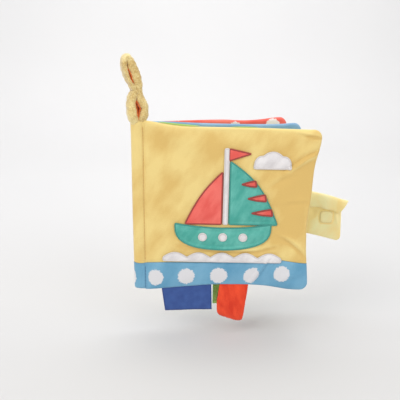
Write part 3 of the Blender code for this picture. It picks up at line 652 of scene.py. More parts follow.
def crease(x, z):
    """The folds that stand in the front cover where it has been bent and squeezed in use."""
    total = np.zeros_like(x + z)
    for path, height, width in CREASES:
        path = np.array(path) * MM
        best, along = np.full(total.shape, 1.0), np.zeros(total.shape)
        for k in range(len(path) - 1):
            a, b = path[k], path[k + 1]
            run = b - a
            t = np.clip(((x - a[0]) * run[0] + (z - a[1]) * run[1]) / (run @ run), 0, 1)
            off_x, off_z = x - a[0] - t * run[0], z - a[1] - t * run[1]
            gap = np.hypot(off_x, off_z) * np.where(off_x * -run[1] + off_z * run[0] > 0, 1, -1)
            nearer = np.abs(gap) < np.abs(best)
            best = np.where(nearer, gap, best)
            along = np.where(nearer, (k + t) / (len(path) - 1), along)
        fade = np.sin(math.pi * np.clip(along, 0.04, 0.96)) ** 0.5
        profile = hump(best - width * 0.8, width) - 0.9 * hump(best + width * 0.3, width * 0.7)
        total = total + height * fade * profile
    return total


def brushed(x, z):
    """How much darker (above 0) or lighter the pile looks at a place on the front cover, with painted shade
    and highlight.
    """
    fold = crease(x, z)
    # Painted shade in each fold's hollow, where the pile is also crushed, and a painted highlight on its
    # ridge
    total = 450.0 * np.maximum(-fold, 0.0) - 130.0 * np.maximum(fold, 0.0)
    # Painted highlight along the top edge, where its rolled seam catches the light
    total = total - 0.20 * hump(HEIGHT + table(TOP_SHIFT, x) - z, 0.0035)
    for cx, cz, wide, high, lean, amount in BRUSHED:
        dx, dz = x - cx * MM, z - cz * MM
        across, along = dx * math.cos(lean) + dz * math.sin(lean), dz * math.cos(lean) - dx * math.sin(lean)
        total = total + amount * spot(across, along, wide * MM, high * MM)
    return total


def net_lines(length, low_rim, high_rim):
    """Shares from 0 to 1 at which a net has lines: evenly, and closer together where the cloth turns in."""
    rim = [0.0, 0.00012, 0.0004, 0.0009, 0.0015, 0.0022, 0.0032, 0.0046, 0.0062]
    low = rim if low_rim else [0.0]
    high = [length - step for step in reversed(rim)] if high_rim else [length]
    count = max(2, round((high[0] - low[-1]) / NET))
    between = np.linspace(low[-1], high[0], count + 1)[1:-1]
    return np.concatenate([low, between, high]) / length


def from_outline(x, z, outline):
    """Distance from points to a closed outline, and whether each is inside it."""
    a = np.array(outline, float)
    b = np.roll(a, -1, axis=0)
    p = stack(x, z)[..., None, :]
    run = b - a
    t = np.clip(((p - a) * run).sum(-1) / np.maximum((run * run).sum(-1), 1e-18), 0, 1)
    gap = np.linalg.norm(p - a - t[..., None] * run, axis=-1).min(axis=-1)
    px, pz = p[..., 0], p[..., 1]
    rise = np.where(b[:, 1] == a[:, 1], 1e-12, b[:, 1] - a[:, 1])
    level = (a[:, 1] > pz) != (b[:, 1] > pz)
    crosses = level & (px < (b[:, 0] - a[:, 0]) * (pz - a[:, 1]) / rise + a[:, 0])
    return gap, crosses.sum(axis=-1) % 2 == 1


# The boat's outlines, as the CAD has them, from the cover's hinge and foot
BOAT_X, DECK_Z, HULL_LONG, HULL_DEEP, SHEER = 0.072, 0.060, 0.090, 0.021, 0.004
MAST_X = BOAT_X - HULL_LONG / 2 + 0.047
DECK_TOP = DECK_Z + SHEER
MAST_HALF, MAST_TALL = 0.0018, 0.072


def hull_outline():
    loop = []
    for k in range(25):
        a = math.pi * k / 24
        rise = SHEER * math.cos(a) ** 2
        loop.append((BOAT_X - HULL_LONG / 2 * math.cos(a),
                     DECK_Z + rise - (HULL_DEEP + rise) * math.sin(a) ** 0.6))
    for k in range(11, 0, -1):
        share = 2 * (k / 12) - 1
        loop.append((BOAT_X + HULL_LONG / 2 * share, DECK_Z + SHEER * share ** 2))
    return loop


def sail_outline(corner, foot, luff, fullness):
    loop = [corner, (corner[0] + foot, corner[1])]
    for k in range(1, 12):
        share = k / 12
        full = fullness * math.sin(math.pi * share)
        loop.append((corner[0] + foot * (1 - share + full), corner[1] + luff * (share + full)))
    return loop + [(corner[0], corner[1] + luff)]


def sea_outline():
    left, base, long, waves = BOAT_X - 0.056, 0.0265, 0.112, 5
    loop = [(left, base), (left + long, base)]
    for k in range(50, -1, -1):
        loop.append((left + long * k / 50, base + 0.0035 + 0.0050 * abs(math.sin(math.pi * waves * k / 50))))
    return loop


def cloud_outline():
    """Three round heads over a flat foot; heads are (middle, reach, rise) in shares of its width."""
    heads = ((-0.30, 0.20, 0.40), (0.0, 0.35, 0.65), (0.31, 0.19, 0.38))
    loop = []
    for k in range(37):
        share = k / 36 - 0.5
        top = 0.12
        for middle, reach, rise in heads:
            inside = 1 - ((share - middle) / reach) ** 2
            if inside > 0:
                top = max(top, 0.12 + (rise + 0.2) * math.sqrt(inside))
        loop.append((0.116 + 0.034 * share, 0.118 + 0.016 * top * (1.0 if abs(share) < 0.49 else 0.6)))
    return loop + [(0.133, 0.118), (0.099, 0.118)]


def disc_outline(x, z, radius):
    turn = [2 * math.pi * k / 28 for k in range(28)]
    return [(x + radius * math.cos(a), z + radius * math.sin(a)) for a in turn]


def stripe_outline(z, left, long, high):
    """One pointed stripe that runs in from the sail's free edge."""
    return [(left, z - high * 0.15), (left + long * 0.5, z - high * 0.45), (left + long, z - high * 0.55),
            (left + long * 0.93, z + high * 0.5), (left + long * 0.5, z + high * 0.25)]


HULL, SEA, CLOUD = hull_outline(), sea_outline(), cloud_outline()
MAST = [(MAST_X - MAST_HALF, DECK_TOP), (MAST_X + MAST_HALF, DECK_TOP),
        (MAST_X + MAST_HALF, DECK_TOP + MAST_TALL), (MAST_X - MAST_HALF, DECK_TOP + MAST_TALL)]
MAINSAIL = sail_outline((MAST_X + 0.0036, DECK_TOP), 0.045, 0.060, 0.10)
JIB = sail_outline((MAST_X - 0.0036, DECK_TOP), -0.034, 0.050, 0.06)
PENNANT = [(MAST_X + 0.0021, DECK_TOP + MAST_TALL), (MAST_X + 0.0021, DECK_TOP + 0.061),
           (MAST_X + 0.0221, DECK_TOP + 0.0676)]
PORTS = [disc_outline(BOAT_X + k * 0.019, DECK_Z - 0.0085, 0.0036) for k in (-1, 0, 1)]
STRIPES = [stripe_outline(DECK_TOP + z, MAST_X + left, long, high) for z, left, long, high in (
    (0.0125, 0.0240, 0.0200, 0.0062), (0.0265, 0.0200, 0.0175, 0.0062), (0.0400, 0.0140, 0.0140, 0.0056))]
SEWN_DOWN = (HULL, MAINSAIL, JIB, PENNANT, MAST, SEA, CLOUD)


# The covers and pages

def cover_lift(x, z, patches=True):
    """What lifts the front cover's cloth besides its padding: folds, seams and the pull of the patches."""
    aside, up = front.stray(x, z)
    fx, fz = x + aside, z + up
    lift = crease(fx, fz) * smooth(np.maximum(front.from_edge(x, z), 0.0) / FOLD_FADE)
    if patches:
        nearest = np.full(fx.shape, 1.0)
        for outline in SEWN_DOWN:
            gap, inside = from_outline(fx, fz, outline)
            nearest = np.minimum(nearest, np.where(inside, 0.0, gap))
        for away, (depth, width) in ((nearest, PATCH_PULL), (x - GROOVE, GROOVE_PULL),
                                     (fz - table(BAND_TOP, fx), BAND_PULL)):
            lift = lift - depth * hump(away, width)
    return lift


# The binding's section, from the stitch line at the back round to the front, in mm
SPINE_SECTION = through(np.array((
    (6.3, 2.95), (5.5, 3.75), (3.8, 4.5), (1.0, 4.95), (-1.9, 4.8), (-4.3, 4.0), (-5.9, 2.6), (-6.65, 0.8),
    (-6.65, -0.8), (-5.9, -2.6), (-4.4, -4.1), (-2.4, -4.95), (-0.4, -5.15), (1.8, -4.75), (3.8, -4.05),
    (5.3, -3.55), (6.65, -3.1))) * MM, 60)
NEAR_HINGE = (0.0, 0.0005, 0.001, 0.0016, 0.0024, 0.0034, 0.0048, 0.0066)
FINE_ARC = -0.0062
HINGE_CLEAR = 0.006
SPINE_CORE = (0.0016, 0.0)
SPINE_RADIUS = 0.005
SPINE_END_ROUND = 0.0034
WRAP_ROLL = 0.00045


def cover_net(low, high, low_rim, high_rim):
    """The outer cloth from the rear stitch line, round the spine and over the front cover to its edge."""
    rows = net_lines(HEIGHT - BAND_HEIGHT if high_rim else BAND_HEIGHT, low_rim, high_rim)[:, None]
    shares = net_lines(front.width, False, True)
    near = np.array(NEAR_HINGE) / front.width
    shares = np.concatenate([near, shares[shares > near[-1] + HINGE_CLEAR]])[None, :]
    x = shares * front.width
    for _ in range(2):
        z = low(x) + (high(x) - low(x)) * rows
        x = shares * front.reach(z)
    leaf = front.point(-1, x, z, cover_lift(x, z), open_hinge=True)
    arc = lengths(SPINE_SECTION)
    arc = arc - arc[-1]
    even = np.concatenate([np.linspace(arc[0], FINE_ARC, 34), np.linspace(FINE_ARC, 0, 19)[1:-1]])
    section = stack(*(np.interp(even, arc, SPINE_SECTION[:, k]) for k in range(2)))
    inward = np.array(SPINE_CORE) - section
    sewn = GROOVE_PULL[0] * hump(even - GROOVE, GROOVE_PULL[1])[:, None]
    section = section + sewn * inward / np.linalg.norm(inward, axis=1)[:, None]
    sx = np.broadcast_to(section[None, :, 0], (len(rows), len(section)))
    sy = np.broadcast_to(section[None, :, 1], sx.shape)
    along = sx - HINGE_X
    sz = low(along) + (high(along) - low(along)) * rows
    closed = dome(np.maximum(np.minimum(sz, HEIGHT - sz), 0.0) / SPINE_END_ROUND)
    shut = np.sign(sy) * (HINGE_X * 0.36) * smooth((sx - 0.001) / 0.0056)
    roll = uneven(even[None, :] * 60, sz * 95, 3.0) * WRAP_ROLL
    groove = -BAND_PULL[0] * hump(sz - table(BAND_TOP, along), BAND_PULL[1])
    puffed = 1 + (roll + groove) / SPINE_RADIUS
    y = shut + (sy * puffed - shut) * closed
    sx = sx * (0.80 + 0.20 * closed) + 0.0003
    aside, up = front.stray(sx - HINGE_X, sz)
    points = np.concatenate([stack(sx + aside, y, sz + up), leaf], axis=1)
    run = np.concatenate([np.broadcast_to(even[None, :], sx.shape), x], axis=1)
    return points, run, np.concatenate([sz, z], axis=1)


def band_seam(shift):
    """Height of the seam between the band and the velour, at a pattern place."""
    def at(x):
        foot, top = table(FOOT_SHIFT, x), table(TOP_SHIFT, x)
        return (table(BAND_TOP, x) - foot) / (1 + (top - foot) / HEIGHT) + shift
    return at


def flat_line(z):
    return lambda x: np.zeros_like(x) + z


def dot_places(x, z):
    """Where the band's dots fall: whole numbers along it, and 0 on their middle line."""
    along = np.interp(x, (-0.0493, -0.0188, 0.0076, 0.0377, 0.0689, 0.1003, 0.1290, 0.1427),
                      (-1, 0, 1, 2, 3, 4, 5, 5.46))
    middle = np.interp(x, (0.0, 0.0076, 0.0377, 0.0689, 0.1008, 0.1289),
                       (0.0083, 0.0083, 0.0108, 0.0118, 0.0126, 0.0149))
    by_fold = np.exp(-((x - 0.1003) / 0.011) ** 4)
    along = along + by_fold * (0.08 * (along - 4) - 0.24 * (z - middle) / DOT_PITCH)
    return stack(along, (z - middle) / DOT_PITCH)


SPINE_BEND = ("root", "front_cover", (0.0049, -0.0025, 0.08), (0.0079, -0.0055, 0.08))

points, run, height = cover_net(band_seam(CUT), flat_line(HEIGHT), False, True)
# Its tone carries painted shade in the folds and painted highlights on their ridges and along the top edge
cover = cloth_from("cover_velour", points, stack(run, height), YELLOW_VELOUR, (0, -1, 0),
                   tone_and_painted_light=brushed(run, points[..., 2]))
dress(cover, SPINE_BEND, ("spine_wrap", "front_cover_panel", "front_cover_wadding"), "velour_yellow")
cover_line = (points, run)

points, run, height = cover_net(flat_line(0.0), band_seam(-CUT), True, False)
band = cloth_from("cover_band_plush", points, stack(run, height), BLUE_PLUSH, (0, -1, 0),
                  dots=dot_places(run, points[..., 2]))
dress(band, SPINE_BEND, ("spine_band", "front_cover_band"), "plush_blue_dotted")
band_line = (points, run)


# Middle of a dot on the back's band and on the coral page, whose rows of dots run at a slant
BACK_DOT_X, BACK_DOT_Z = -0.012, 0.0105
CORAL_DOT_X, CORAL_DOT_Z, CORAL_DOT_PITCH = 0.0894, 0.148, 0.0401


def page(name, leaf, side, finish, slot, body, nodes, seed, low=0.0, high=HEIGHT):
    """One face of a leaf as a padded page; the outside of the back has a seam over its band."""
    outside = (low, high) != (0.0, HEIGHT)
    rows = net_lines(high - low, low == 0.0, high == HEIGHT)[:, None]
    shares = net_lines(leaf.width, True, True)[None, :]
    z = low + (high - low) * rows + 0 * shares
    x = shares * leaf.reach(z)
    lift = -BAND_PULL[0] * hump(z - BAND_HEIGHT, BAND_PULL[1]) if outside else 0.0
    tucked = x - 0.0010 * (1 - smooth(x / 0.020))
    points = leaf.point(side, tucked, z, lift=lift, open_hinge=outside)
    if outside:
        spots = stack(x - BACK_DOT_X, z - BACK_DOT_Z) / DOT_PITCH
    else:
        across, above = x - CORAL_DOT_X, z - CORAL_DOT_Z - 0.03 * (x - 0.109)
        spots = stack(across + above, above - across) / CORAL_DOT_PITCH
    piece = cloth_from(name, points, stack(x + seed, z), finish, leaf.outward(side), dots=spots)
    dress(piece, body, nodes, slot)


def lining_edge():
    """Where the lining was cut a little full, it rolls up past the cover's top edge in two places."""
    rolls = []
    for start, end, half in ((0.0120, 0.0470, 0.00085), (0.0740, 0.0980, 0.00045)):
        x = np.linspace(start, end, 36)
        line = front.point(1, x, np.full(36, HEIGHT), open_hinge=True)
        line[:, 2] += half * 0.75
        line[:, 1] -= half * 0.5
        swell = np.sin(np.linspace(0.05, math.pi - 0.05, 36)) ** 0.6
        rolls.append(tube(f"roll_{start}", line, (0, -1, 0), ring(half, half, 10), GREEN_VELOUR,
                          sizes=stack(swell, swell)))
    dress(joined("lining_rolled_edge", rolls), "front_cover", (), "velour_green")


def bound_edges():
    """The trimmed edges of the leaves, stitched together inside the spine; the middle one has a tongue."""
    ply_step, ply_end, tongue_end = 0.00115, 0.0058, 0.0079
    plies = []
    for k in range(5):
        y = (k - 2) * ply_step
        end = tongue_end if k == 2 else ply_end
        path = [(0.0005, y, 0.0012), (0.0005, y, HEIGHT / 2), (0.0005, y, HEIGHT - 0.0010)]
        section = [(a, b + (end - 0.0040) / 2) for a, b in ring(0.0005, (end + 0.0040) / 2, 12, 0.5)]
        plies.append(tube(f"ply_{k}", through(path, 40), (1, 0, 0), section, WHITE_FELT))
    dress(joined("bound_edges_felt", plies), "root", ("bound_edges",), "wadding_white")


page("front_lining_velour", front, 1, GREEN_VELOUR, "velour_green", "front_cover",
     ("front_cover_lining",), 0.3)
lining_edge()
page("inner_page_blue", inner, -1, BLUE_VELOUR, "velour_blue", "inner_leaf",
     ("inner_leaf_front_face", "inner_leaf_wadding"), 0.5)
page("inner_page_green", inner, 1, GREEN_VELOUR, "velour_green", "inner_leaf", ("inner_leaf_rear_face",), 0.7)
page("back_page_coral", back, -1, CORAL_PLUSH, "plush_coral_dotted", "root",
     ("back_cover_lining", "back_cover_wadding"), 0.9)
page("back_velour", back, 1, YELLOW_VELOUR, "velour_yellow", "root", ("back_cover_panel",), 1.1,
     low=BAND_HEIGHT + CUT)
page("back_band_plush", back, 1, BLUE_PLUSH, "plush_blue_dotted", "root", ("back_cover_band",), 1.3,
     high=BAND_HEIGHT - CUT)
bound_edges()


def stitches(name, line, finish, long=0.0026, gap=0.0006, half=0.00026):
    """A row of machine stitches along a line, each a short drawn-down thread."""
    line = np.array(line)
    run = lengths(line)
    made = []
    for k in range(int(run[-1] // (long + gap))):
        at = (long + gap) * k + np.linspace(0, long, 5)
        path = stack(*(np.interp(at, run, line[:, j]) for j in range(3)))
        made.append(tube(f"{name}_{k}", path, (0, -1, 0), ring(half, half, 6), finish,
                         sizes=[(0.45, 0.45), (1, 1), (1, 1), (1, 1), (0.45, 0.45)]))
    return joined(name, made)


def in_groove(points, run, start, end):
    """The line of needle holes down the groove between the binding and the front cover."""
    rows = []
    for row, places in zip(points, run):
        if start <= row[0, 2] <= end:
            place = [np.interp(GROOVE, places, row[:, k]) for k in range(3)]
            rows.append(place - np.array((0.0, 0.00020, 0.0)))
    return rows


for name, line, finish, body in (
        ("cover_topstitch", in_groove(*cover_line, 0.0262, 0.1570), YELLOW_THREAD, SPINE_BEND),
        ("band_topstitch", in_groove(*band_line, -0.0030, 0.0215), BLUE_THREAD, SPINE_BEND),
        ("back_topstitch", stack(0.0066, 0.0034, np.linspace(0.0265, 0.1540, 120)), YELLOW_THREAD, "root")):
    carry(stitches(name, line, finish), body)


# The sewn picture

def evenly(outline, step, rounds=1):
    """An outline resampled at even steps, with its corners eased as thread and cloth ease them."""
    loop = np.array(outline + outline[:1], float)
    run = lengths(loop)
    count = max(12, round(run[-1] / step))
    at = np.linspace(0, run[-1], count, endpoint=False)
    even = stack(*(np.interp(at, run, loop[:, k]) for k in range(2)))
    for _ in range(rounds):
        even = (np.roll(even, 1, axis=0) + 2 * even + np.roll(even, -1, axis=0)) / 4
    return even


# Rows of points beside a patch's edge, and where its even net begins
EDGE_ROWS = (0.00022, 0.0006, 0.0011, 0.0017, 0.0024, 0.0031)
EVEN_FROM = 0.0038


def stuffed(name, outline, finish, place, rise, facing=(0, -1, 0), seed=0.0, step=0.0013):
    """A patch of cloth inside an outline, whose height over its ground is rise(distance from the edge)."""
    loop = evenly(outline, 0.0009)
    area = 0.5 * (loop[:, 0] * np.roll(loop[:, 1], -1) - np.roll(loop[:, 0], -1) * loop[:, 1]).sum()
    ahead = np.roll(loop, -1, axis=0) - np.roll(loop, 1, axis=0)
    inward = stack(-ahead[:, 1], ahead[:, 0]) * np.sign(area)
    inward /= np.linalg.norm(inward, axis=1)[:, None]
    found = [loop]
    for depth in EDGE_ROWS:
        line = loop + inward * depth
        gap, inside = from_outline(line[:, 0], line[:, 1], loop)
        found.append(line[inside & (gap > depth * 0.93)])
    low, high = loop.min(axis=0), loop.max(axis=0)
    gx, gz = np.meshgrid(np.arange(low[0], high[0], step), np.arange(low[1], high[1], step))
    gx[1::2] += step / 2
    gap, inside = from_outline(gx.ravel(), gz.ravel(), loop)
    found.append(stack(gx.ravel(), gz.ravel())[inside & (gap > EVEN_FROM)])
    count = len(loop)
    rim = [(k, (k + 1) % count) for k in range(count)]
    corners = [Vector(p) for p in np.concatenate(found)]
    vertices, _, faces, *_ = delaunay_2d_cdt(corners, rim, [list(range(count))], 1, 1e-7)
    flat = np.array([tuple(v) for v in vertices])
    gap, _ = from_outline(flat[:, 0], flat[:, 1], loop)
    mesh = bpy.data.meshes.new(name)
    points = place(flat[:, 0], flat[:, 1], rise(gap))
    mesh.from_pydata([tuple(p) for p in points], [], [list(f) for f in faces])
    corner = np.array([edge.vertex_index for edge in mesh.loops])
    mesh.uv_layers.new(name="cloth").data.foreach_set("uv", (flat + seed)[corner].astype(np.float32).ravel())
    # The same per-point tone, which carries painted shade on the tab
    mesh.attributes.new("tone_and_painted_light", "FLOAT", "POINT")
    mesh.update()
    if sum((p.normal * p.area for p in mesh.polygons), Vector()).dot(Vector(facing)) < 0:
        mesh.flip_normals()
    mesh.shade_smooth()
    mesh.materials.append(finish)
    return placed(name, mesh)


def on_cover(x, z, rise):
    """The place over the front cover's cloth, for a patch sewn down at (x, z)."""
    px, pz = front.pattern(x, z)
    return front.point(-1, px, pz, cover_lift(px, pz, patches=False) - 0.00045 + rise, open_hinge=True)


def on_patch(x, z, rise):
    return on_cover(x, z, rise + 0.0015)


def padding(high, puff, channel):
    """Height of a patch over its ground: a round sewn edge, a soft middle and a stitched channel."""
    edge_round, puff_reach, channel_in, channel_half = 0.0012, 0.009, 0.0030, 0.0006

    def height(gap):
        return (high * dome(gap / edge_round) + puff * smooth(gap / puff_reach)
                - channel * hump(gap - channel_in, channel_half))
    return height


def edging(name, loops, finish, slot):
    """Satin stitch worked over the edges of patches in one thread, as one piece."""
    rings = []
    for k, (outline, place) in enumerate(loops):
        loop = evenly(outline, 0.0007, rounds=3)
        rings.append(tube(f"{name}_{k}", place(loop[:, 0], loop[:, 1], 0.0009), (0, -1, 0),
                          ring(0.00075, 0.00045, 8), finish, closed=True))
    dress(joined(name, rings), "front_cover", (), slot)


# Each patch: its name, its node, its outline, finish and slot, its ground, and its height, puff and channel
TEAL, CORAL, WHITE = "applique_teal", "applique_coral", "applique_white"
patches = [("boat_hull_plush", "boat_hull", HULL, TEAL_PLUSH, TEAL, on_cover, 0.0012, 0.0007, 0.0004),
           ("mainsail_plush", "boat_mainsail", MAINSAIL, TEAL_PLUSH, TEAL, on_cover, 0.0012, 0.0007, 0.0004),
           ("jib_felt", "boat_jib", JIB, CORAL_FELT, CORAL, on_cover, 0.0012, 0.0007, 0.0),
           ("pennant_felt", "boat_pennant", PENNANT, CORAL_FELT, CORAL, on_cover, 0.0012, 0.0003, 0.0),
           ("mast_plush", "boat_mast", MAST, WHITE_PLUSH, WHITE, on_cover, 0.0012, 0.0, 0.0),
           ("sea_plush", "sea_wave", SEA, WHITE_PLUSH, WHITE, on_cover, 0.0012, 0.0005, 0.0),
           ("cloud_plush", "cloud", CLOUD, WHITE_PLUSH, WHITE, on_cover, 0.0012, 0.0009, 0.0)]
for where, port in zip(("left", "middle", "right"), PORTS):
    patches.append((f"porthole_plush_{where}", f"porthole_{where}", port, WHITE_PLUSH, WHITE, on_patch,
                    0.0010, 0.0003, 0.0))
for k, stripe in enumerate(STRIPES):
    patches.append((f"sail_stripe_felt_{k + 1}", None, stripe, CORAL_FELT, CORAL, on_patch,
                    0.0006, 0.0002, 0.0))
for name, node, outline, finish, slot, ground, *heights in patches:
    piece = stuffed(name, outline, finish, ground, padding(*heights), seed=len(name) * 0.1)
    dress(piece, "front_cover", (node,) if node else (), slot)
edging("teal_satin_edge", [(HULL, on_cover), (MAINSAIL, on_cover)], TEAL_THREAD, TEAL)
edging("red_satin_edge", [(JIB, on_cover), (PENNANT, on_cover)] + [(s, on_patch) for s in STRIPES],
       RED_THREAD, CORAL)
edging("white_satin_edge",
       [(MAST, on_cover), (SEA, on_cover), (CLOUD, on_cover)] + [(p, on_patch) for p in PORTS],
       WHITE_THREAD, WHITE)


# The hanging loop

LOOP_BASE = HEIGHT + 0.0003
LOOP_TURN = math.radians(20)
LOOP_COS, LOOP_SIN = math.cos(LOOP_TURN), math.sin(LOOP_TURN)
STRAP_HALF = 0.003
FOOT_BEND = ("root", "hanging_loop", (0.0, 0.0, 0.1565), (0.0, 0.0, 0.1700))

# In its own plane, in mm: height, middle, half width outside, half width of its slit, shift of the slit
STRANDS = np.array((
    (-4.5, 0.2, 5.4, -0.8, 0.0), (0.0, -0.1, 6.8, -0.7, 0.0), (3.5, -1.0, 7.7, -0.3, 0.0),
    (8.5, -1.4, 9.8, 0.7, -0.3), (13.5, -1.3, 9.5, 1.5, 0.1), (18.0, -2.2, 8.9, 0.9, -0.7),
    (23.0, -2.8, 7.3, -0.3, -0.4), (27.0, -2.2, 5.5, -1.1, 0.0), (30.0, -2.2, 4.7, -1.3, -0.3),
    (33.0, -3.0, 5.6, -1.0, -1.4), (36.5, -3.7, 6.1, -0.1, -2.3), (40.0, -5.2, 6.6, 0.4, -2.5),
    (44.0, -6.6, 7.0, 0.6, -2.3), (48.0, -8.1, 6.9, 0.35, -2.4), (52.0, -9.6, 6.5, -0.2, -2.2),
    (56.0, -10.7, 5.3, -0.7, -1.0))) * MM
LOOP_TOP = np.array((-11.2, 59.0, 5.0)) * MM


def loop_strap():
    """The strap's middle line from its left foot over the top to its right foot, and its thickness there."""
    height, middle, outer, slit, shift = STRANDS.T
    lean = np.arctan2(-np.gradient(middle), np.gradient(height))
    strands = []
    for way in (-1, 1):
        aside = way * ((outer + slit + way * shift) / 2)
        thick = outer - slit - way * shift
        strands.append(stack(middle + np.cos(lean) * aside, height + np.sin(lean) * aside, thick))
    line = through(np.concatenate([strands[0], LOOP_TOP[None, :], strands[1][::-1]]), 420)
    return stack(line[:, 0] * LOOP_COS, line[:, 0] * LOOP_SIN, LOOP_BASE + line[:, 1]), line[:, 2]


path, thick = loop_strap()
strap_side = (-LOOP_SIN, LOOP_COS, 0.0)
up = path[:, 2] - LOOP_BASE
gathered = 1 - 0.10 * hump(up - 0.0285, 0.0050) + 0.04 * np.sin(np.linspace(0, 23, len(path)))
gathered = gathered - 0.55 * (1 - smooth((up + 0.0015) / 0.0095))
sizes = stack(thick / (2 * STRAP_HALF), gathered)
strap = tube("loop_terry", path, strap_side, ring(STRAP_HALF, 0.0070, 80, 0.72), LEMON_TERRY, sizes=sizes)
roughen(strap, 0.0075, 0.0006, 4.0)
roughen(strap, 0.0026, 0.0005, 2.0)
roughen(strap, 0.0010, 0.0005, 9.0, looped=True)
# Painted highlight where it catches the light: its left strand and its top. Lighter at its left foot.
# Painted shade in the tuck near the top.
spots = places_of(strap)
in_plane, high = spots[:, 0] * LOOP_COS + spots[:, 1] * LOOP_SIN, spots[:, 2] - LOOP_BASE
set_painted_light_and_tone(strap, -0.42 * spot(in_plane + 0.0085, high - 0.0080, 0.0040, 0.0130)
        - 0.40 * hump(high - 0.0610, 0.0045)
        - 0.45 * (1 - smooth((high + 0.001) / 0.007)) * (1 - smooth((in_plane + 0.002) / 0.004))
        + 0.40 * spot(in_plane + 0.0125, high - 0.0535, 0.0018, 0.0022))
dress(strap, FOOT_BEND, ("hanging_loop_strap",), "terry_lemon")
inner_side = [(a + 0.0029 + 0.0015 * max(b, 0.0) / 0.0047, b) for a, b in ring(0.0004, 0.0047, 24, 0.5)]
for name, node, foot, top in (("lower_eye_orange", "lower_eye_lining", 0.0030, 0.0225),
                              ("upper_eye_orange", "upper_eye_lining", 0.0360, 0.0515)):
    picked = np.flatnonzero((foot < up) & (up < top))
    runs = np.split(picked, np.where(np.diff(picked) > 1)[0] + 1)
    strips = [tube(f"{name}_{k}", path[run], strap_side, inner_side, ORANGE_COTTON, sizes=sizes[run])
              for k, run in enumerate(runs) if len(run) > 3]
    dress(joined(name, strips), FOOT_BEND, (node,), "velour_orange")


# The closure tab

TAB = Vector((0.145441, 0.050129, 0.065))
TAB_LONG, TAB_HALF, TAB_PLIES, TAB_CORNER = 0.0573, 0.022, 0.00145, 0.0045
FALL = math.tan(math.radians(12))
TAB_ROOT = -0.0040
TAB_BEND = ("root", "closure_tab", (0.1436, 0.0501, 0.065), (0.1484, 0.0501, 0.065))
PATCH_X, PATCH_Z = 0.0412, -0.0092


def tab_outline():
    """The tab from its root, with its lower edge falling to a round corner at the free end."""
    loop = [(TAB_ROOT, TAB_HALF), (TAB_ROOT, -TAB_HALF),
            (TAB_LONG * 0.5, -TAB_HALF - 0.0006 - FALL * TAB_LONG * 0.5)]
    for k in range(7):
        turn = math.radians(-90 + 90 * k / 6)
        loop.append((TAB_LONG - TAB_CORNER + TAB_CORNER * math.cos(turn),
                     -TAB_HALF + TAB_CORNER - FALL * TAB_LONG + TAB_CORNER * math.sin(turn) - 0.0002))
    return loop + [(TAB_LONG - 0.0010, 0.0), (TAB_LONG, TAB_HALF - FALL * TAB_LONG)]


def tab_bend(x):
    return 0.0012 * np.sin(x / TAB_LONG * 3.0)


def tab_soft(x, z):
    """The tab's shallow waves: a stood-up ridge beside the patch, a dent before it and a slack lower edge."""
    ridge = 0.0010 * hump(x - 0.0515 + (z + 0.010) * 0.2, 0.0014) * hump(z + 0.010, 0.007)
    dent = 0.0009 * spot(x - 0.0275, z + 0.004, 0.0030, 0.004)
    return ridge - dent + 0.0005 * uneven(x * 75, z * 75, 2.0)


def tab_painted_shade(x, z):
    """Painted shade on the tab: beside the cover's edge, in the dent before the patch and round the patch's
    edge.
    """
    by_cover = 0.70 * hump(np.maximum(x - 0.0185, 0.0), 0.0035)
    in_dent = 0.90 * spot(x - 0.0272, z + 0.0060, 0.0026, 0.0038)
    from_patch = ((x - PATCH_X) ** 4 + (z - PATCH_Z) ** 4) ** 0.25 - 0.0068
    return by_cover + in_dent + 0.60 * hump(from_patch, 0.0008)


def tab_front(x, z, rise):
    return stack(TAB.x + x, TAB.y + tab_bend(x) - rise - tab_soft(x, z) * smooth(rise / 0.0010), TAB.z + z)


def tab_rear(x, z, rise):
    return stack(TAB.x + x, TAB.y + tab_bend(x) + rise, TAB.z + z)


def on_tab(x, z, rise):
    return tab_front(x, z, rise + TAB_PLIES - 0.0002)


def ply_edge(gap):
    return TAB_PLIES * dome(gap / 0.0016) + 0.00003


for name, node, place, facing in (("tab_front_velour", "closure_tab_front_ply", tab_front, (0, -1, 0)),
                                  ("tab_rear_velour", "closure_tab_rear_ply", tab_rear, (0, 1, 0))):
    ply = stuffed(name, tab_outline(), LEMON_VELOUR, place, ply_edge, facing=facing, seed=len(name) * 0.21)
    if place is tab_front:
        spots = places_of(ply)
        # Painted shade on the front ply
        set_painted_light_and_tone(ply, tab_painted_shade(spots[:, 0] - TAB.x, spots[:, 2] - TAB.z))
    dress(ply, TAB_BEND, (node,), "velour_lemon")

# The upper edge, rolled over to the front: its section in mm, carried along the edge
fold_section = through(np.array((
    (-0.6, -0.9), (0.6, -1.2), (1.5, -0.4), (1.8, 0.8), (1.4, 2.1), (0.2, 3.1), (-2.0, 3.7), (-5.0, 4.0),
    (-8.5, 4.0), (-10.9, 3.8), (-12.3, 3.3), (-12.7, 2.6), (-12.2, 2.0), (-10.0, 1.8), (-6.0, 1.7),
    (-2.5, 1.5), (-1.0, 0.8), (-0.7, 0.0))) * MM, 54)
roll_x = np.linspace(0.0030, TAB_LONG + 0.0050, 60)
roll_path = stack(TAB.x + roll_x, TAB.y + tab_bend(roll_x),
                  TAB.z + TAB_HALF - FALL * roll_x - 0.0016 + 0.0007 * np.sin(roll_x / TAB_LONG * 3.1))
ends = dome(np.minimum(roll_x - roll_x[0] + 0.0002, roll_x[-1] - roll_x + 0.0002) / 0.0016)
fold_depth = np.interp(roll_x, (0.003, 0.019, 0.028, 0.037, 0.0625), (1.20, 1.20, 1.10, 0.98, 1.0))
tab_roll = tube("tab_rolled_edge", roll_path, (0, -1, 0), fold_section, LEMON_VELOUR,
                sizes=stack((0.93 + 0.07 * ends) * fold_depth, 0.72 + 0.28 * ends))
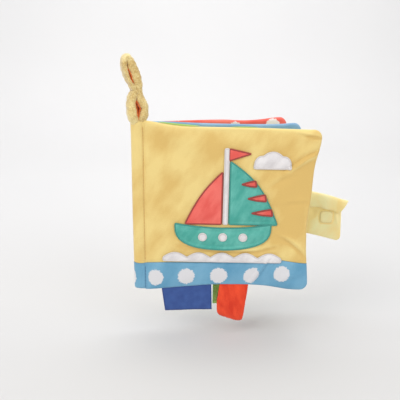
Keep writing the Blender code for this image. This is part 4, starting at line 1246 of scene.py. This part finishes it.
for vertex in tab_roll.data.vertices:
    below = TAB.z + TAB_HALF - FALL * (vertex.co.x - TAB.x) - vertex.co.z
    near_tip = float(smooth((vertex.co.x - TAB.x - TAB_LONG + 0.012) / 0.012))
    vertex.co.x -= max(below, 0.0) * 0.36 * near_tip
roughen(tab_roll, 0.012, 0.0008, 2.0)
dress(tab_roll, "closure_tab", ("closure_tab_front_ply",), "velour_lemon")


def rounded_square(size, corner, count=6):
    """The hook patch's outline, round its middle on the tab."""
    loop = []
    for quarter, (sx, sz) in enumerate(((1, 1), (-1, 1), (-1, -1), (1, -1))):
        for k in range(count):
            turn = math.pi / 2 * (quarter + k / (count - 1))
            loop.append((PATCH_X + sx * (size / 2 - corner) + corner * math.cos(turn),
                         PATCH_Z + sz * (size / 2 - corner) + corner * math.sin(turn)))
    return loop


hook = stuffed("hook_patch_velour", rounded_square(0.0135, 0.0035), LEMON_VELOUR, on_tab,
               lambda gap: 0.0011 * dome(gap / 0.0010) - 0.0003 * hump(gap - 0.0010, 0.0005), seed=0.4)
dress(hook, "closure_tab", ("hook_patch",), "velour_lemon")
inset = evenly(rounded_square(0.0120, 0.0032), 0.0007)
inset = np.concatenate([inset, inset[:1]])
hook_line = on_tab(inset[:, 0], inset[:, 1], 0.00080)
carry(stitches("hook_patch_stitch", hook_line, LEMON_THREAD, long=0.0019, gap=0.0003, half=0.00024),
      "closure_tab")


# Label and tags

def folded_ribbon(name, corners, depth, finish, curl, lean_y=(1, 0), border=0.0):
    """A flat ribbon folded at its foot: corners are top left, top right, foot right and foot left."""
    rows, hem, thickness = 34, 0.0013, 0.0004
    top_left, top_right, foot_right, foot_left = (np.array(c) for c in corners)
    across = np.linspace(0, 1, 60)[None, :, None]
    down = np.linspace(0, 1, rows)
    fall = np.concatenate([down, 1 - down[1:]])[:, None, None]
    side = np.concatenate([-np.ones(rows - 1), [0.0], np.ones(rows - 1)])[:, None, None]
    side = side * dome((1 - fall) / 0.05) * (0.5 + 0.5 * smooth(fall / 0.3))
    flat = ((top_left * (1 - across) + top_right * across) * (1 - fall)
            + (foot_left * (1 - across) + foot_right * across) * fall)
    out = np.array([-lean_y[1], lean_y[0], 0.0])
    wave = curl * (np.sin(across * 4.2 + 0.6) * fall + 0.5 * np.sin(across * 9 + 2) * fall ** 2)
    wide, high = np.linalg.norm(top_right - top_left), np.linalg.norm(foot_left - top_left)
    u, v = np.broadcast_arrays(across[..., 0] * wide, np.linspace(0, 2, 2 * rows - 1)[:, None] * high)
    from_side, from_end = np.minimum(u, wide - u), np.minimum(v % high, high - v % high)
    piece = cloth_from(name, flat + out * (side * depth + wave), stack(u, v), finish, (0, 0, 0),
                       tone_and_painted_light=border * (np.minimum(from_side, from_end) < hem))
    solid = piece.modifiers.new("cloth", "SOLIDIFY")
    solid.thickness, solid.offset = thickness, 0.0
    return piece, (wide, 2 * high)


label, flat = folded_ribbon("label_damask", ((0.0208, -0.0024, -0.0008), (0.0692, -0.0024, 0.0034),
                                             (0.0701, -0.0030, -0.0240), (0.0245, -0.0030, -0.0268)),
                            0.00045, NAVY_DAMASK, 0.0006, border=0.45)
dress(label, "label", ("woven_label",), "woven_navy")

c9, s9 = math.cos(INNER_TURN), math.sin(INNER_TURN)
seam = np.array((0.071006, 0.009889, 0.0))
green_corners = [seam + corner for corner in (
    (0, 0, 0.0004), (0.016 * c9, 0.016 * s9, 0.0006),
    (0.0157 * c9, 0.016 * s9, -0.0242), (0.0003, 0, -0.0244))]
green, flat = folded_ribbon("tag_green_satin", green_corners, 0.0006, GREEN_SATIN, 0.0005, lean_y=(c9, s9))
dress(green, "green_tag", ("green_ribbon_tag",), "satin_green")

# The red tag: its section in mm as (height, depth), carried across its width
tag_section = through(np.array((
    (0.8, 0.9), (-2.5, 1.9), (-8.0, 2.4), (-15.0, 2.6), (-22.0, 2.6), (-27.0, 2.4), (-29.6, 1.6),
    (-30.6, 0.0), (-29.6, -1.6), (-27.0, -2.4), (-22.0, -2.6), (-15.0, -2.6), (-8.0, -2.4), (-2.5, -1.9),
    (0.8, -0.9), (0.6, -0.25), (-14.0, -0.25), (-25.5, -0.25), (-26.4, 0.0), (-25.5, 0.25), (-14.0, 0.25),
    (0.6, 0.25), (0.9, 0.8))) * MM, 90)
TAG_WIDE = 0.0275
TAG_Y = -0.0024
tag_x = np.linspace(0, 1, 80)
corners = np.exp(-tag_x / 0.07) * 0.10 + np.exp((tag_x - 1) / 0.05) * 0.05
thinned = 0.72 + 0.28 * dome(np.minimum(tag_x, 1 - tag_x) / 0.07 + 0.1)
red = tube("tag_red_plush", stack(tag_x * TAG_WIDE, TAG_Y, 0.0), (0, -1, 0), tag_section, RED_PLUSH,
           sizes=stack(1.05 + 0.14 * tag_x - corners, thinned))
for vertex in red.data.vertices:
    share, fall = vertex.co.x / TAG_WIDE, max(-vertex.co.z, 0.0)
    left = np.interp(fall, (0.0, 0.015, 0.026, 0.032), (0.0775, 0.0748, 0.0752, 0.0765))
    right = np.interp(fall, (0.0, 0.014, 0.028, 0.036), (0.1048, 0.1030, 0.1013, 0.0997))
    vertex.co.x = left + (right - left) * share
    vertex.co.y += 0.0012 * math.sin(share * 5 + 1) * fall / 0.03
    vertex.co.z += 0.0024 * float(smooth((vertex.co.z + 0.012) / 0.012))
roughen(red, 0.0014, 0.00035, 1.0)
dress(red, ("front_cover", "red_tag", (0.09, TAG_Y, 0.0), (0.09, TAG_Y, -0.0060)), ("red_ribbon_tag",),
      "plush_coral")


# Studio

FLOOR_Z = -0.048
sweep = through([(0, -1.6, 0), (0, 0.0, 0), (0, 0.55, 0), (0, 0.95, 0.05), (0, 1.15, 0.30), (0, 1.20, 0.9),
                 (0, 1.2, 2.2)], 60)
net = stack(np.linspace(-1.8, 1.8, 12)[None, :], sweep[:, 1:2], sweep[:, 2:3] + FLOOR_Z)
floor = cloth_from("studio_sweep", net, net[..., :2], PAPER, (0, 0, 1))


def softbox(name, place, aim, size, power, colour):
    """A square studio light that looks at a point."""
    lamp = bpy.data.lights.new(name, "AREA")
    lamp.shape, lamp.size, lamp.energy, lamp.color = "SQUARE", size, power, colour
    holder = placed(name, lamp)
    holder.location = place
    holder.rotation_euler = (Vector(aim) - Vector(place)).to_track_quat("-Z", "Y").to_euler()


softbox("key_light", (-0.80, -0.85, 1.00), (0.07, 0, 0.08), 0.9, 8.1, (1.0, 0.98, 0.95))
softbox("top_light", (0.22, 0.10, 1.45), (0.08, 0.05, 0.05), 0.95, 4.4, (1.0, 1.0, 1.0))
softbox("fill_light", (0.95, -0.85, 0.55), (0.07, 0, 0.08), 0.9, 3.5, (0.97, 0.98, 1.0))
softbox("sweep_light", (0.0, 0.56, 1.10), (0.0, 1.19, 0.44), 1.2, 9.2, (0.95, 0.96, 1.0))
world = bpy.data.worlds.new("studio_air")
world.use_nodes = True
world.node_tree.nodes["Background"].inputs["Color"].default_value = linear("#F4F5F8")
world.node_tree.nodes["Background"].inputs["Strength"].default_value = 0.73
bpy.context.scene.world = world
bpy.context.scene.view_settings.view_transform = "Standard"

# The photograph's camera, fitted to the cover's corners
TARGET = Vector((0.05665, -0.00565, 0.0871))
AZIMUTH, ELEVATION, ROLL, DISTANCE = math.radians(-0.3), math.radians(15.8), math.radians(1.1), 0.600
FOCAL_PIXELS, PHOTO_PIXELS = 646.0, 400.0
level = Vector((math.sin(AZIMUTH), -math.cos(AZIMUTH), 0.0)) * math.cos(ELEVATION)
eye = level + Vector((0.0, 0.0, math.sin(ELEVATION)))
right = Vector((math.cos(AZIMUTH), math.sin(AZIMUTH), 0.0))
upward = eye.cross(right)
rolled_right = right * math.cos(ROLL) + upward * math.sin(ROLL)
rolled_up = upward * math.cos(ROLL) - right * math.sin(ROLL)
camera = placed("photo_camera", bpy.data.cameras.new("photo_camera"))
camera.data.lens = FOCAL_PIXELS / PHOTO_PIXELS * camera.data.sensor_width
camera.data.clip_start = 0.01
camera.rotation_mode = "QUATERNION"
camera.rotation_quaternion = Matrix((rolled_right, rolled_up, eye)).transposed().to_quaternion()
camera.location = TARGET + eye * DISTANCE
bpy.context.scene.camera = camera

bpy.context.view_layer.update()
